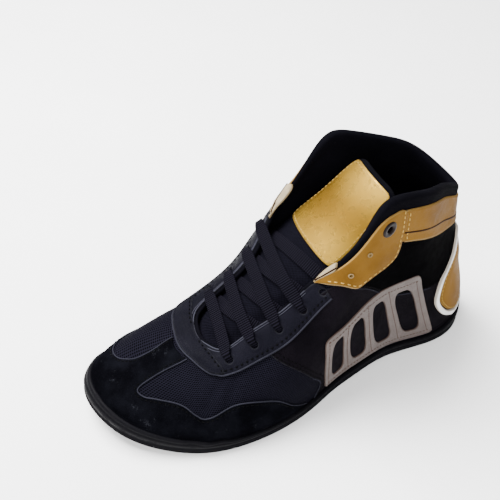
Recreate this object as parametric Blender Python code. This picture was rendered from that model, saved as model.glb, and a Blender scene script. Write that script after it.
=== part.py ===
"""A left wrestling shoe, standing empty on its sole.

The whole shoe hangs on one closed surface, the outside of the upper. It runs round
the foot from the feather line, where the upper meets the sole, to the edge of the
collar and the throat. Fourteen sections from heel to toe set it, each with a lateral
and a medial side. The sole's side, the panels, the laces and the tongue take their
places from that surface.

Metres. +X to the toe, +Y to the lateral side, +Z up, the floor at z = 0.
"""

import math

import bpy
import numpy as np
from mathutils import Vector
from mathutils.bvhtree import BVHTree
from mathutils.geometry import delaunay_2d_cdt

# Sizes of the last
LENGTH = 0.2775
BALL_WIDTH = 0.095
WAIST_WIDTH = 0.060
HEEL_WIDTH = 0.057
COLLAR_WIDTH = 0.071
THROAT_WIDTH = 0.038
COLLAR_BACK = 0.119
COLLAR_FRONT = 0.150
INSTEP_HEIGHT = 0.097
VAMP_HEIGHT = 0.052
TOE_SPRING = 0.012
HEEL_SPRING = 0.0025
ARCH_RISE = 0.003

# Thicknesses
SOLE_PLATE = 0.005
SIDEWALL = 0.0022
SIDEWALL_HEIGHT = 0.011
UPPER_WALL = 0.0022
COLLAR_PAD = 0.0055
INSOLE_THICKNESS = 0.003
TONGUE_THICKNESS = 0.0045
PANEL = 0.0010
GOLD_PANEL = 0.0012
PIPING = 0.0020
LACE_WIDTH = 0.0075
LACE_THICKNESS = 0.0012
EYELET_RADIUS = 0.0022
GROMMET_RADIUS = 0.0042
GROMMET_HOLE = 0.0024
GROMMET_DEPTH = 0.0010
GAP = 0.0003
SIDE_GAP = 0.0005

# Fineness of the faceted surface
AROUND = 50
LEVELS = (0.0, 0.08, 0.19, 0.34, 0.50, 0.66, 0.80, 0.92, 1.0)
COLLAR_LEVELS = 3
ACROSS = 3

# Feather line: share of LENGTH, the width it follows, lateral and medial shares of it
FEATHER = (
    ("heel back", 0.000, HEEL_WIDTH, -0.02, 0.02),
    ("heel corner", 0.022, HEEL_WIDTH, 0.26, 0.28),
    ("heel side", 0.097, HEEL_WIDTH, 0.48, 0.47),
    ("heel front", 0.191, HEEL_WIDTH, 0.49, 0.51),
    ("shank", 0.285, WAIST_WIDTH, 0.49, 0.43),
    ("waist", 0.364, WAIST_WIDTH, 0.57, 0.425),
    ("waist front", 0.436, WAIST_WIDTH, 0.65, 0.46),
    ("instep", 0.501, BALL_WIDTH, 0.485, 0.335),
    ("ball back", 0.573, BALL_WIDTH, 0.55, 0.38),
    ("ball", 0.674, BALL_WIDTH, 0.585, 0.415),
    ("ball front", 0.782, BALL_WIDTH, 0.55, 0.41),
    ("toe side", 0.886, BALL_WIDTH, 0.42, 0.38),
    ("toe corner", 0.962, BALL_WIDTH, 0.23, 0.295),
    ("toe tip", 1.000, BALL_WIDTH, -0.125, 0.125),
)

# Edge of the collar and the throat: share of LENGTH, the width it follows, lateral and
# medial shares of it, the height it follows, lateral and medial shares of it
EDGE = (
    ("collar back", 0.076, COLLAR_WIDTH, -0.04, 0.04, COLLAR_BACK, 1.00, 1.00),
    ("collar rear", 0.097, COLLAR_WIDTH, 0.055, 0.27, COLLAR_BACK, 1.03, 1.05),
    ("collar side", 0.148, COLLAR_WIDTH, 0.155, 0.465, COLLAR_FRONT, 0.88, 0.90),
    ("collar middle", 0.220, COLLAR_WIDTH, 0.31, 0.54, COLLAR_FRONT, 0.947, 0.953),
    ("collar top", 0.314, COLLAR_WIDTH, 0.395, 0.58, COLLAR_FRONT, 1.00, 1.013),
    ("collar corner", 0.364, COLLAR_WIDTH, 0.437, 0.58, COLLAR_FRONT, 0.99, 1.02),
    ("flap upper", 0.407, COLLAR_WIDTH, 0.458, 0.563, COLLAR_FRONT, 0.887, 0.933),
    ("flap lower", 0.447, COLLAR_WIDTH, 0.42, 0.535, COLLAR_FRONT, 0.773, 0.833),
    ("throat top", 0.490, THROAT_WIDTH, 0.58, 0.95, INSTEP_HEIGHT, 1.00, 1.134),
    ("throat upper", 0.559, THROAT_WIDTH, 0.53, 0.63, INSTEP_HEIGHT, 0.794, 0.897),
    ("throat lower", 0.638, THROAT_WIDTH, 0.50, 0.50, INSTEP_HEIGHT, 0.65, 0.711),
    ("throat front", 0.699, THROAT_WIDTH, 0.47, 0.50, VAMP_HEIGHT, 1.02, 1.04),
    ("throat corner", 0.724, THROAT_WIDTH, 0.24, 0.32, VAMP_HEIGHT, 0.99, 1.00),
    ("throat tip", 0.732, THROAT_WIDTH, -0.05, 0.05, VAMP_HEIGHT, 0.98, 0.98),
)

# How each section swells between the two lines. Rise and drop are shares of its height,
# flare and reach shares of BALL_WIDTH. Side is the height of the sole's side, a share of
# SIDEWALL_HEIGHT. Pad is how far the padded collar reaches: 1 padded, 0 plain edge.
PROFILE = (
    # rise, flare, drop, reach, side, pad
    (0.30, 0.02, 0.35, 0.00, 1.30, 1.0),
    (0.30, 0.02, 0.35, 0.00, 1.00, 1.0),
    (0.30, 0.03, 0.35, 0.00, 0.40, 1.0),
    (0.28, 0.04, 0.34, 0.02, 0.28, 1.0),
    (0.27, 0.03, 0.34, 0.03, 0.25, 1.0),
    (0.27, 0.03, 0.30, 0.05, 0.25, 0.8),
    (0.30, 0.03, 0.30, 0.065, 0.25, 0.35),
    (0.30, 0.03, 0.22, 0.105, 0.25, 0.1),
    (0.31, 0.03, 0.12, 0.17, 0.30, 0.0),
    (0.34, 0.03, 0.10, 0.19, 0.45, 0.0),
    (0.36, 0.03, 0.10, 0.19, 0.80, 0.0),
    (0.36, 0.03, 0.10, 0.21, 1.00, 0.0),
    (0.36, 0.03, 0.12, 0.27, 1.05, 0.0),
    (0.38, 0.03, 0.15, 0.34, 1.10, 0.0),
)

SIDES = len(FEATHER) - 1
STATIONS = 2 * SIDES

# Tongue, front to top: share of LENGTH, share of COLLAR_FRONT, y as a share of
# THROAT_WIDTH, half width as a share of THROAT_WIDTH, how far its sides fall away
TONGUE = (
    ("root", 0.752, 0.285, 0.00, 0.46, 0.20),
    ("throat front", 0.717, 0.335, 0.00, 0.62, 0.26),
    ("first laces", 0.666, 0.415, 0.00, 0.74, 0.30),
    ("middle laces", 0.598, 0.510, -0.05, 0.80, 0.31),
    ("last laces", 0.530, 0.622, -0.13, 0.86, 0.31),
    ("under flaps", 0.468, 0.715, -0.14, 0.88, 0.32),
    ("label middle", 0.402, 0.835, -0.07, 0.80, 0.26),
    ("label top", 0.345, 0.955, -0.03, 0.70, 0.20),
    ("top", 0.322, 1.005, -0.02, 0.56, 0.14),
)
TONGUE_STEPS = 12
TONGUE_ACROSS = 8
TONGUE_CLEARANCE = 0.0011
TONGUE_FREE = 0.006
TONGUE_REACH = 0.02

# Label on the tongue: its ends as shares of the tongue's run, its sides as shares of its
# width, and how much its corners are cut
LABEL = (0.62, 0.93, 0.09, 0.91)
LABEL_SCALES = (TONGUE_STEPS, TONGUE_STEPS, TONGUE_ACROSS, TONGUE_ACROSS)
LABEL_CUT = 0.12

# Panels, as outlines of (station, level). A station is a section's number: 0 at the heel
# back, 13 at the toe tip, up the lateral side, and on to 26 down the medial side. Level
# runs from 0 at the feather line to 1 at the edge.
THROAT_MARGIN = 0.985
BAND_TOP = 0.955
EYESTAY_OUTER = (
    (7.42, 0.775), (7.92, 0.745), (8.75, 0.69), (9.50, 0.68), (10.00, 0.67), (10.50, 0.69),
    (10.83, 0.73), (11.50, 0.785), (12.25, 0.833), (13.00, 0.85), (13.67, 0.82), (14.25, 0.77),
    (15.10, 0.71), (15.80, 0.68), (16.50, 0.68), (17.25, 0.69), (18.08, 0.745), (18.58, 0.775),
)
EYESTAY_END = (7.95, 0.97)
TOE_WRAP_LATERAL = (
    (7.45, 0.055), (8.00, 0.133), (8.58, 0.267), (9.17, 0.35), (9.67, 0.395), (9.95, 0.38),
    (10.33, 0.335), (10.65, 0.39), (11.00, 0.46), (11.40, 0.483), (11.83, 0.467), (12.08, 0.445),
    (12.28, 0.47), (12.33, 0.583), (12.30, 0.70), (12.17, 0.815),
)
TOE_WRAP_MEDIAL = (
    (13.10, 0.835), (12.98, 0.75), (12.92, 0.66), (12.93, 0.57), (13.10, 0.48), (13.50, 0.41),
    (14.10, 0.37), (14.90, 0.36), (15.80, 0.39), (16.45, 0.46), (16.62, 0.55), (16.35, 0.63),
    (15.95, 0.665), (16.95, 0.67), (17.35, 0.50), (17.90, 0.30), (18.60, 0.055),
)
TOE_WRAP_CLEAR = 0.016
FLAP = (
    (3.86, 0.955), (4.50, 0.957), (4.98, 0.960), (5.25, 0.965), (5.92, 0.967), (6.58, 0.965),
    (7.25, 0.968), (7.97, 0.985), (7.55, 0.90), (6.90, 0.82), (6.17, 0.735), (5.67, 0.712),
    (4.83, 0.685), (4.30, 0.700), (4.00, 0.750), (3.86, 0.850),
)
BAND_LOWER = ((3.80, 0.79), (3.40, 0.78), (3.00, 0.768), (2.17, 0.752), (1.17, 0.765), (0.00, 0.775))
HEEL_FRONT = (
    (0.00, 0.70), (0.55, 0.695), (1.00, 0.655), (1.50, 0.565), (2.10, 0.465), (2.38, 0.36),
    (2.38, 0.28), (2.10, 0.18), (1.70, 0.125),
)
HEEL_FOOT = ((1.20, 0.142), (0.60, 0.165), (0.00, 0.17))
HEEL_GOLD_INSET = 0.17

# Side cage: a rail along the sole, a rail under the ankle and raked ribs between them
CAGE_FRONT = 6.95
CAGE_BACK = 2.70
CAGE_LOW = 0.050
CAGE_LOW_TOP = 0.135
CAGE_TOP_BACK = 0.560
CAGE_TOP_FRONT = 0.500
CAGE_TOP_RAIL = 0.075
CAGE_RIBS = 5
CAGE_RAKE = 0.80
CAGE_RIB = 0.36
CAGE_WINDOW_ROUND = 0.22

# Lower eyelets from the throat's front to its top: lateral and medial station, level
EYELETS = (
    (10.55, 15.72, 0.83),
    (9.80, 16.42, 0.83),
    (9.15, 17.05, 0.84),
    (8.45, 17.68, 0.84),
    (7.78, 18.22, 0.86),
)
FLAP_EYELET = (4.70, 0.895)
LACE_STEPS = 12
LACE_STOP = 0.0045
LACE_END = 0.0015
LACE_TURN = 0.77
LACE_REST = 0.0006
LACE_BITE = 0.0004
LACE_FEELERS = (-0.5, -0.25, 0.0, 0.25, 0.5)

# Colours as linear red, green, blue, then roughness and metallic
FINISHES = {
    "black_mesh": (0.010, 0.010, 0.012, 0.75, 0.0),
    "black_suede": (0.008, 0.008, 0.010, 0.95, 0.0),
    "black_leather": (0.012, 0.012, 0.014, 0.45, 0.0),
    "gold_leather": (0.55, 0.34, 0.12, 0.38, 0.35),
    "silver_leather": (0.52, 0.50, 0.49, 0.45, 0.2),
    "white_piping": (0.80, 0.79, 0.76, 0.5, 0.0),
    "black_rubber": (0.010, 0.010, 0.011, 0.65, 0.0),
    "black_lining": (0.012, 0.012, 0.013, 0.9, 0.0),
    "black_lace": (0.012, 0.012, 0.013, 0.85, 0.0),
    "black_metal": (0.02, 0.02, 0.02, 0.35, 0.8),
}


def clear_scene():
    """Remove the objects of the start-up scene."""
    for obj in list(bpy.data.objects):
        bpy.data.objects.remove(obj, do_unlink=True)


def material(name):
    """A plain material of one of the finishes."""
    mat = bpy.data.materials.get(name)
    if mat:
        return mat
    red, green, blue, roughness, metallic = FINISHES[name]
    mat = bpy.data.materials.new(name)
    mat.use_nodes = True
    shader = mat.node_tree.nodes["Principled BSDF"]
    shader.inputs["Base Color"].default_value = (red, green, blue, 1.0)
    shader.inputs["Roughness"].default_value = roughness
    shader.inputs["Metallic"].default_value = metallic
    mat.diffuse_color = (red, green, blue, 1.0)
    return mat


def add_object(name, points, faces, finish):
    """A mesh object with its own copy of a finish, shaded smooth over soft edges."""
    mesh = bpy.data.meshes.new(name)
    mesh.from_pydata([tuple(p) for p in points], [], faces)
    mesh.validate()
    mat = material(finish).copy()
    mat.name = name + "_" + finish
    mesh.materials.append(mat)
    obj = bpy.data.objects.new(name, mesh)
    bpy.context.scene.collection.objects.link(obj)
    mesh.shade_smooth()
    mesh.set_sharp_from_angle(angle=math.radians(35))
    return obj


def add_cutter(name, points, faces):
    """A helper solid that a Boolean reads and nothing shows."""
    obj = add_object(name, points, faces, "black_metal")
    obj.hide_render = True
    obj.display_type = "WIRE"
    return obj


def add_boolean(obj, other, operation):
    """Cut or join one object with another."""
    modifier = obj.modifiers.new(operation.lower(), "BOOLEAN")
    modifier.operation = operation
    modifier.solver = "EXACT"
    modifier.object = other


def bottom_height(x):
    """Height of the sole's underside: flat at heel and ball, raised at toe, arch and back."""
    share = x / LENGTH
    toe = TOE_SPRING * np.clip((share - 0.77) / 0.23, 0.0, None) ** 1.8
    back = HEEL_SPRING * np.clip((0.045 - share) / 0.05, 0.0, None) ** 1.6
    middle = np.clip((share - 0.32) / 0.12, -1.0, 1.0)
    arch = ARCH_RISE * (1.0 + np.cos(math.pi * middle)) / 2.0
    return toe + back + arch


def both_sides(lateral, medial):
    """Rows of the lateral side, heel to toe, then those of the medial side back again."""
    return np.concatenate([lateral, medial[-2:0:-1]])


def section_lines():
    """Feather line, edge line and profile values at the stations."""
    feather_lateral = []
    feather_medial = []
    for _, along, width, lateral, medial in FEATHER:
        height = bottom_height(along * LENGTH) + SOLE_PLATE
        feather_lateral.append((along * LENGTH, lateral * width, height))
        feather_medial.append((along * LENGTH, -medial * width, height))
    edge_lateral = []
    edge_medial = []
    for _, along, width, lateral, medial, height, high_lateral, high_medial in EDGE:
        edge_lateral.append((along * LENGTH, lateral * width, high_lateral * height))
        edge_medial.append((along * LENGTH, -medial * width, high_medial * height))
    feather = both_sides(np.array(feather_lateral), np.array(feather_medial))
    edge = both_sides(np.array(edge_lateral), np.array(edge_medial))
    profile = both_sides(np.array(PROFILE), np.array(PROFILE))
    return feather, edge, profile


def closed_spline(knots, values, period, u):
    """Smooth closed curve through values at knots, read at u."""
    count = len(knots)
    step = np.diff(np.append(knots, knots[0] + period))
    matrix = np.zeros((count, count))
    right = np.zeros((count, values.shape[1]))
    for i in range(count):
        before = step[i - 1]
        after = step[i]
        nxt = (i + 1) % count
        matrix[i, i - 1] += before
        matrix[i, i] += 2.0 * (before + after)
        matrix[i, nxt] += after
        slope_after = (values[nxt] - values[i]) / after
        slope_before = (values[i] - values[i - 1]) / before
        right[i] = 6.0 * (slope_after - slope_before)
    bend = np.linalg.solve(matrix, right)
    u = np.mod(u, period)
    i = np.clip(np.searchsorted(knots, u, side="right") - 1, 0, count - 1)
    j = (i + 1) % count
    span = step[i][..., None]
    done = (u - knots[i])[..., None]
    left = span - done
    curve = (bend[i] * left ** 3 + bend[j] * done ** 3) / (6.0 * span)
    curve += (values[i] / span - bend[i] * span / 6.0) * left
    curve += (values[j] / span - bend[j] * span / 6.0) * done
    return curve


class Last:
    """The outside of the upper as a smooth surface over station and level."""

    def __init__(self):
        self.feather, self.edge, self.profile = section_lines()
        run_feather = np.linalg.norm(np.roll(self.feather, -1, 0) - self.feather, axis=1)
        run_edge = np.linalg.norm(np.roll(self.edge, -1, 0) - self.edge, axis=1)
        run = (run_feather + run_edge) / 2.0
        self.knots = np.concatenate([[0.0], np.cumsum(run)[:-1]])
        self.period = float(run.sum())

    def distance(self, station):
        """Distance round the shoe of a station number, which may lie between two."""
        marks = np.append(self.knots, self.period)
        return np.interp(np.asarray(station, float), np.arange(STATIONS + 1), marks)

    def read(self, values, u):
        """One of the station rows, read smoothly at a distance round the shoe."""
        return closed_spline(self.knots, values, self.period, u)

    def outward(self, u):
        """Level direction out of the shoe at the feather line."""
        tiny = 1e-4
        along = self.read(self.feather, u + tiny) - self.read(self.feather, u - tiny)
        out = np.stack([-along[..., 1], along[..., 0], 0.0 * along[..., 0]], -1)
        return out / np.linalg.norm(out, axis=-1, keepdims=True)

    def point(self, u, level):
        """Point of the surface at a distance round the shoe and a level."""
        u, level = np.broadcast_arrays(np.asarray(u, float), np.asarray(level, float))
        foot = self.read(self.feather, u)
        edge = self.read(self.edge, u)
        shape = self.read(self.profile, u)
        out = self.outward(u)
        height = (edge[..., 2] - foot[..., 2])[..., None]
        up = np.array([0.0, 0.0, 1.0])
        lower = foot + up * shape[..., 0:1] * height + out * shape[..., 1:2] * BALL_WIDTH
        upper = edge - up * shape[..., 2:3] * height + out * shape[..., 3:4] * BALL_WIDTH
        t = level[..., None]
        s = 1.0 - t
        return s ** 3 * foot + 3 * s ** 2 * t * lower + 3 * s * t ** 2 * upper + t ** 3 * edge

    def normal(self, u, level):
        """Unit normal of the surface, pointing out of the shoe."""
        tiny = 1e-3
        low = np.clip(np.asarray(level, float) - tiny, 0.0, 1.0)
        high = np.clip(np.asarray(level, float) + tiny, 0.0, 1.0)
        along = self.point(u + tiny, level) - self.point(u - tiny, level)
        rise = self.point(u, high) - self.point(u, low)
        out = np.cross(rise, along)
        return out / np.linalg.norm(out, axis=-1, keepdims=True)


class Skin:
    """A faceted sheet of points and normals that solids are built on."""

    def __init__(self, points, normals, closed):
        self.points = points
        self.normals = normals
        self.closed = closed
        self.columns = points.shape[0]
        self.rows = points.shape[1]

    def corner(self, i, j, offset):
        """Grid corner pushed out along its normal."""
        if self.closed:
            i = i % self.columns
        return self.points[i, j] + self.normals[i, j] * offset

    def at(self, a, b, offset):
        """Point on the facets at grid coordinates a and b, pushed out by offset."""
        last = self.columns if self.closed else self.columns - 1
        i = int(min(max(math.floor(a), -last), last - 1))
        j = int(min(max(math.floor(b), 0), self.rows - 2))
        x = a - i
        y = b - j
        near = self.corner(i, j, offset)
        far = self.corner(i + 1, j + 1, offset)
        if x >= y:
            side = self.corner(i + 1, j, offset)
            return near + x * (side - near) + y * (far - side)
        side = self.corner(i, j + 1, offset)
        return near + y * (side - near) + x * (far - side)


def inside(polygon, x, y):
    """Whether a point lies inside a polygon."""
    hit = False
    count = len(polygon)
    for k in range(count):
        ax, ay = polygon[k]
        bx, by = polygon[(k + 1) % count]
        if (ay > y) != (by > y):
            if x < ax + (y - ay) * (bx - ax) / (by - ay):
                hit = not hit
    return hit


def grid_constraints(polygon, points, edges):
    """Add the facet lines under a polygon, so that a panel bends where its skin bends."""
    low_a = math.floor(min(p[0] for p in polygon))
    high_a = math.ceil(max(p[0] for p in polygon))
    low_b = math.floor(min(p[1] for p in polygon))
    high_b = math.ceil(max(p[1] for p in polygon))
    first = len(points)
    wide = high_b - low_b + 1
    for a in range(low_a, high_a + 1):
        for b in range(low_b, high_b + 1):
            points.append((float(a), float(b)))
    for a in range(high_a - low_a + 1):
        for b in range(wide):
            here = first + a * wide + b
            if a < high_a - low_a:
                edges.append((here, here + wide))
            if b < wide - 1:
                edges.append((here, here + 1))
            if a < high_a - low_a and b < wide - 1:
                edges.append((here, here + wide + 1))


def panel_solid(skin, outline, holes, low, high):
    """Solid between two offsets of a skin, cut by an outline and its holes."""
    points = []
    edges = []
    for loop in [outline] + list(holes):
        first = len(points)
        count = len(loop)
        points.extend((float(a), float(b)) for a, b in loop)
        edges.extend((first + k, first + (k + 1) % count) for k in range(count))
    grid_constraints(outline, points, edges)
    flat = [Vector(p) for p in points]
    found, _, triangles, _, _, _ = delaunay_2d_cdt(flat, edges, [], 0, 1e-3)
    kept = []
    for tri in triangles:
        x = sum(found[k][0] for k in tri) / 3.0
        y = sum(found[k][1] for k in tri) / 3.0
        if inside(outline, x, y) and not any(inside(hole, x, y) for hole in holes):
            kept.append(tuple(tri))
    used = sorted({k for tri in kept for k in tri})
    number = {k: n for n, k in enumerate(used)}
    top = [skin.at(found[k][0], found[k][1], high) for k in used]
    base = [skin.at(found[k][0], found[k][1], low) for k in used]
    count = len(used)
    faces = []
    borders = {}
    for tri in kept:
        a, b, c = (number[k] for k in tri)
        faces.append((a, c, b))
        faces.append((a + count, b + count, c + count))
        for edge in ((a, b), (b, c), (c, a)):
            if (edge[1], edge[0]) in borders:
                del borders[(edge[1], edge[0])]
            else:
                borders[edge] = True
    for a, b in borders:
        faces.append((a, b, b + count, a + count))
    return top + base, faces


def grid_outline(last, outline):
    """Outline of stations and levels as grid coordinates of the upper's skin."""
    step = last.period / AROUND
    loop = []
    for station, level in outline:
        turns = math.floor(station / STATIONS)
        distance = float(last.distance(station - turns * STATIONS)) + turns * last.period
        row = float(np.interp(level, LEVELS, np.arange(len(LEVELS))))
        loop.append((distance / step, row))
    return loop


def rounded(outline, steps=3):
    """Closed smooth curve through the points of an outline, as a denser outline."""
    count = len(outline)
    dense = []
    for k in range(count):
        p0, p1, p2, p3 = (np.array(outline[(k + n) % count]) for n in (-1, 0, 1, 2))
        for n in range(steps):
            t = n / steps
            bend = (2 * p0 - 5 * p1 + 4 * p2 - p3) * t ** 2 + (3 * p1 - p0 - 3 * p2 + p3) * t ** 3
            dense.append(tuple(0.5 * (2 * p1 + (p2 - p0) * t + bend)))
    return dense


def softened(points, steps=3):
    """Open smooth curve through points, ends kept, as a denser run."""
    run = []
    count = len(points)
    for k in range(count - 1):
        p0 = np.array(points[max(k - 1, 0)])
        p1 = np.array(points[k])
        p2 = np.array(points[k + 1])
        p3 = np.array(points[min(k + 2, count - 1)])
        for n in range(steps):
            t = n / steps
            bend = (2 * p0 - 5 * p1 + 4 * p2 - p3) * t ** 2 + (3 * p1 - p0 - 3 * p2 + p3) * t ** 3
            run.append(tuple(0.5 * (2 * p1 + (p2 - p0) * t + bend)))
    run.append(tuple(points[-1]))
    return run


def mirrored(outline):
    """The same outline on the medial side, with its turning kept."""
    return [(STATIONS - station, level) for station, level in reversed(outline)]


def upper_skin(last):
    """Facets of the upper's outside."""
    u = np.arange(AROUND) * last.period / AROUND
    level = np.array(LEVELS)
    points = last.point(u[:, None], level[None, :])
    normals = last.normal(u[:, None], level[None, :])
    return Skin(points, normals, True)


def wall_thickness(last):
    """Thickness of the upper's wall at each corner of its skin."""
    u = np.arange(AROUND) * last.period / AROUND
    pad = np.clip(last.read(last.profile, u)[:, 5], 0.0, 1.0)
    level = np.array(LEVELS)
    swell = np.clip((level - 0.66) / 0.24, 0.0, 1.0)
    swell = swell * swell * (3.0 - 2.0 * swell)
    return UPPER_WALL + (COLLAR_PAD - UPPER_WALL) * pad[:, None] * swell[None, :]


def ring_faces(rings, closed_ends):
    """Faces that join rings of equal count, each ring a range start."""
    faces = []
    for first, second in zip(rings[:-1], rings[1:]):
        for i in range(AROUND):
            j = (i + 1) % AROUND
            faces.append((first + i, first + j, second + j))
            faces.append((first + i, second + j, second + i))
    if closed_ends:
        first = rings[-1]
        second = rings[0]
        for i in range(AROUND):
            j = (i + 1) % AROUND
            faces.append((first + i, first + j, second + j))
            faces.append((first + i, second + j, second + i))
    return faces


def build_upper(last, skin, punch):
    """Hollow upper: outside, rolled edge at the collar, inside, open at the feather line."""
    wall = wall_thickness(last)
    rings = []
    for j in range(len(LEVELS)):
        rings.append(skin.points[:, j])
    top = len(LEVELS) - 1
    rise = skin.points[:, top] - skin.points[:, top - 1]
    rise = rise / np.linalg.norm(rise, axis=1, keepdims=True)
    for k in range(1, COLLAR_LEVELS):
        angle = math.pi * k / COLLAR_LEVELS
        depth = wall[:, top:top + 1] * (1.0 - math.cos(angle)) / 2.0
        lift = wall[:, top:top + 1] * math.sin(angle) / 2.0
        rings.append(skin.points[:, top] - skin.normals[:, top] * depth + rise * lift)
    for j in range(top, -1, -1):
        inner = skin.points[:, j] - skin.normals[:, j] * wall[:, j:j + 1]
        rings.append(inner)
    rings[-1][:, 2] = skin.points[:, 0, 2]
    points = np.concatenate(rings)
    starts = [AROUND * k for k in range(len(rings))]
    faces = [face[::-1] for face in ring_faces(starts, True)]
    obj = add_object("upper", points, faces, "black_mesh")
    add_boolean(obj, punch, "DIFFERENCE")
    return obj


def ladder(ring, count):
    """Facets of a sheet between the lateral and medial halves of a closed ring.

    Column k runs across from the lateral point k to the medial point opposite. The ends
    are single points. Returns the interior points and a numbering of all of them.
    """
    half = AROUND // 2
    columns = []
    interior = []
    for k in range(1, half):
        start = np.array(ring[k])
        end = np.array(ring[AROUND - k])
        row = [("ring", k)]
        for n in range(1, count):
            interior.append(start + (end - start) * n / count)
            row.append(("inner", len(interior) - 1))
        row.append(("ring", AROUND - k))
        columns.append(row)
    return columns, interior


def sheet_faces(columns, ring_start, inner_start, flip):
    """Triangles of a ladder sheet."""
    half = AROUND // 2

    def index(item):
        kind, number = item
        return (ring_start if kind == "ring" else inner_start) + number

    faces = []
    heel = ring_start
    toe = ring_start + half
    first = [index(item) for item in columns[0]]
    last_row = [index(item) for item in columns[-1]]
    for a, b in zip(first[:-1], first[1:]):
        faces.append((heel, b, a))
    for a, b in zip(last_row[:-1], last_row[1:]):
        faces.append((toe, a, b))
    for near, far in zip(columns[:-1], columns[1:]):
        near = [index(item) for item in near]
        far = [index(item) for item in far]
        for n in range(len(near) - 1):
            faces.append((near[n], near[n + 1], far[n + 1]))
            faces.append((near[n], far[n + 1], far[n]))
    if flip:
        faces = [face[::-1] for face in faces]
    return faces


def side_levels(last, skin):
    """Level at which the sole's side ends, for each column of the skin."""
    u = np.arange(AROUND) * last.period / AROUND
    height = last.read(last.profile, u)[:, 4] * SIDEWALL_HEIGHT
    fine = np.linspace(0.0, 0.5, 51)
    levels = []
    for k in range(AROUND):
        rise = last.point(u[k], fine)[:, 2] - skin.points[k, 0, 2]
        levels.append(float(np.interp(height[k], rise, fine)))
    return np.array(levels)


def build_outsole(last, skin):
    """Cupped rubber sole: a plate, a side that hugs the upper, a step and a bead on it."""
    u = np.arange(AROUND) * last.period / AROUND
    out = last.outward(u)
    foot = skin.points[:, 0]
    levels = side_levels(last, skin)

    def below(outset, share):
        ring = foot + out * (SIDE_GAP + outset)
        ring = ring.copy()
        low = bottom_height(np.clip(ring[:, 0], 0.0, None))
        ring[:, 2] = low + (foot[:, 2] - low) * share
        return ring

    def beside(outset, share):
        ring = []
        for k in range(AROUND):
            row = float(np.interp(levels[k] * share, LEVELS, np.arange(len(LEVELS))))
            ring.append(skin.at(k, row, SIDE_GAP + outset))
        return np.array(ring)

    rings = [
        below(SIDEWALL * 0.35, 0.0),
        below(SIDEWALL * 1.15, 0.20),
        below(SIDEWALL * 1.15, 0.62),
        below(SIDEWALL * 0.80, 0.72),
        beside(SIDEWALL * 0.85, 0.40),
        beside(SIDEWALL * 1.10, 0.60),
        beside(SIDEWALL * 0.90, 0.90),
        beside(SIDEWALL * 0.40, 1.0),
        beside(0.0, 0.97),
        beside(0.0, 0.66),
        beside(0.0, 0.33),
        below(0.0, 1.0),
    ]
    rings[-1][:, 2] -= GAP
    points = np.concatenate(rings)
    starts = [AROUND * k for k in range(len(rings))]
    faces = [face[::-1] for face in ring_faces(starts, False)]
    columns, inner = ladder(rings[0], ACROSS)
    base = np.array(inner)
    base[:, 2] = bottom_height(base[:, 0])
    faces += sheet_faces(columns, starts[0], len(points), True)
    points = np.concatenate([points, base])
    columns, inner = ladder(rings[-1], ACROSS)
    top = np.array(inner)
    top[:, 2] = bottom_height(top[:, 0]) + SOLE_PLATE - GAP
    faces += sheet_faces(columns, starts[-1], len(points), False)
    points = np.concatenate([points, top])
    return add_object("outsole", points, faces, "black_rubber")


def build_insole(last, skin):
    """Flat insole on the sole's plate, just inside the upper's wall."""
    u = np.arange(AROUND) * last.period / AROUND
    inset = UPPER_WALL + 2.0 * GAP
    foot = skin.points[:, 0] - last.outward(u) * inset
    lower = foot.copy()
    lower[:, 2] = bottom_height(foot[:, 0]) + SOLE_PLATE + GAP
    upper = lower.copy()
    upper[:, 2] += INSOLE_THICKNESS
    points = np.concatenate([lower, upper])
    faces = [face[::-1] for face in ring_faces([0, AROUND], False)]
    for ring, flip, lift in ((lower, True, 0.0), (upper, False, INSOLE_THICKNESS)):
        columns, inner = ladder(ring, ACROSS)
        sheet = np.array(inner)
        sheet[:, 2] = bottom_height(sheet[:, 0]) + SOLE_PLATE + GAP + lift
        start = 0 if flip else AROUND
        faces += sheet_faces(columns, start, len(points), flip)
        points = np.concatenate([points, sheet])
    return add_object("insole", points, faces, "black_lining")


def open_spline(values, t):
    """Smooth open curve through rows of values, t from 0 to 1."""
    rows = np.array(values, float)
    padded = np.concatenate([[2 * rows[0] - rows[1]], rows, [2 * rows[-1] - rows[-2]]])
    place = np.clip(t, 0.0, 1.0) * (len(rows) - 1)
    k = int(min(math.floor(place), len(rows) - 2))
    f = place - k
    p0, p1, p2, p3 = padded[k:k + 4]
    bend = (2 * p0 - 5 * p1 + 4 * p2 - p3) * f ** 2 + (3 * p1 - p0 - 3 * p2 + p3) * f ** 3
    return 0.5 * (2 * p1 + (p2 - p0) * f + bend)


def inner_tree(last, skin):
    """Search tree of the upper's inside."""
    wall = wall_thickness(last)
    points = skin.points - skin.normals * wall[:, :, None]
    rows = len(LEVELS)
    faces = []
    for i in range(AROUND):
        j = (i + 1) % AROUND
        for k in range(rows - 1):
            faces.append((i * rows + k, j * rows + k, j * rows + k + 1, i * rows + k + 1))
    return BVHTree.FromPolygons([Vector(p) for p in points.reshape(-1, 3)], faces)


def pressed(tree, point):
    """Point moved in until it lies clear of the upper's inside, less so in the opening."""
    point = Vector(point)
    near, normal, _, distance = tree.find_nearest(point)
    centre = Vector((near.x, 0.0, near.z - BALL_WIDTH / 2.0))
    if normal.dot(centre - near) < 0.0:
        normal = -normal
    depth = (point - near).dot(normal)
    short = TONGUE_CLEARANCE - depth
    if short < 0.0 or distance > TONGUE_REACH:
        return np.array(point)
    beside = (point - near - normal * depth).length
    share = min(max(1.3 - beside / TONGUE_FREE, 0.0), 1.0)
    return np.array(point + normal * short * share)


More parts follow.
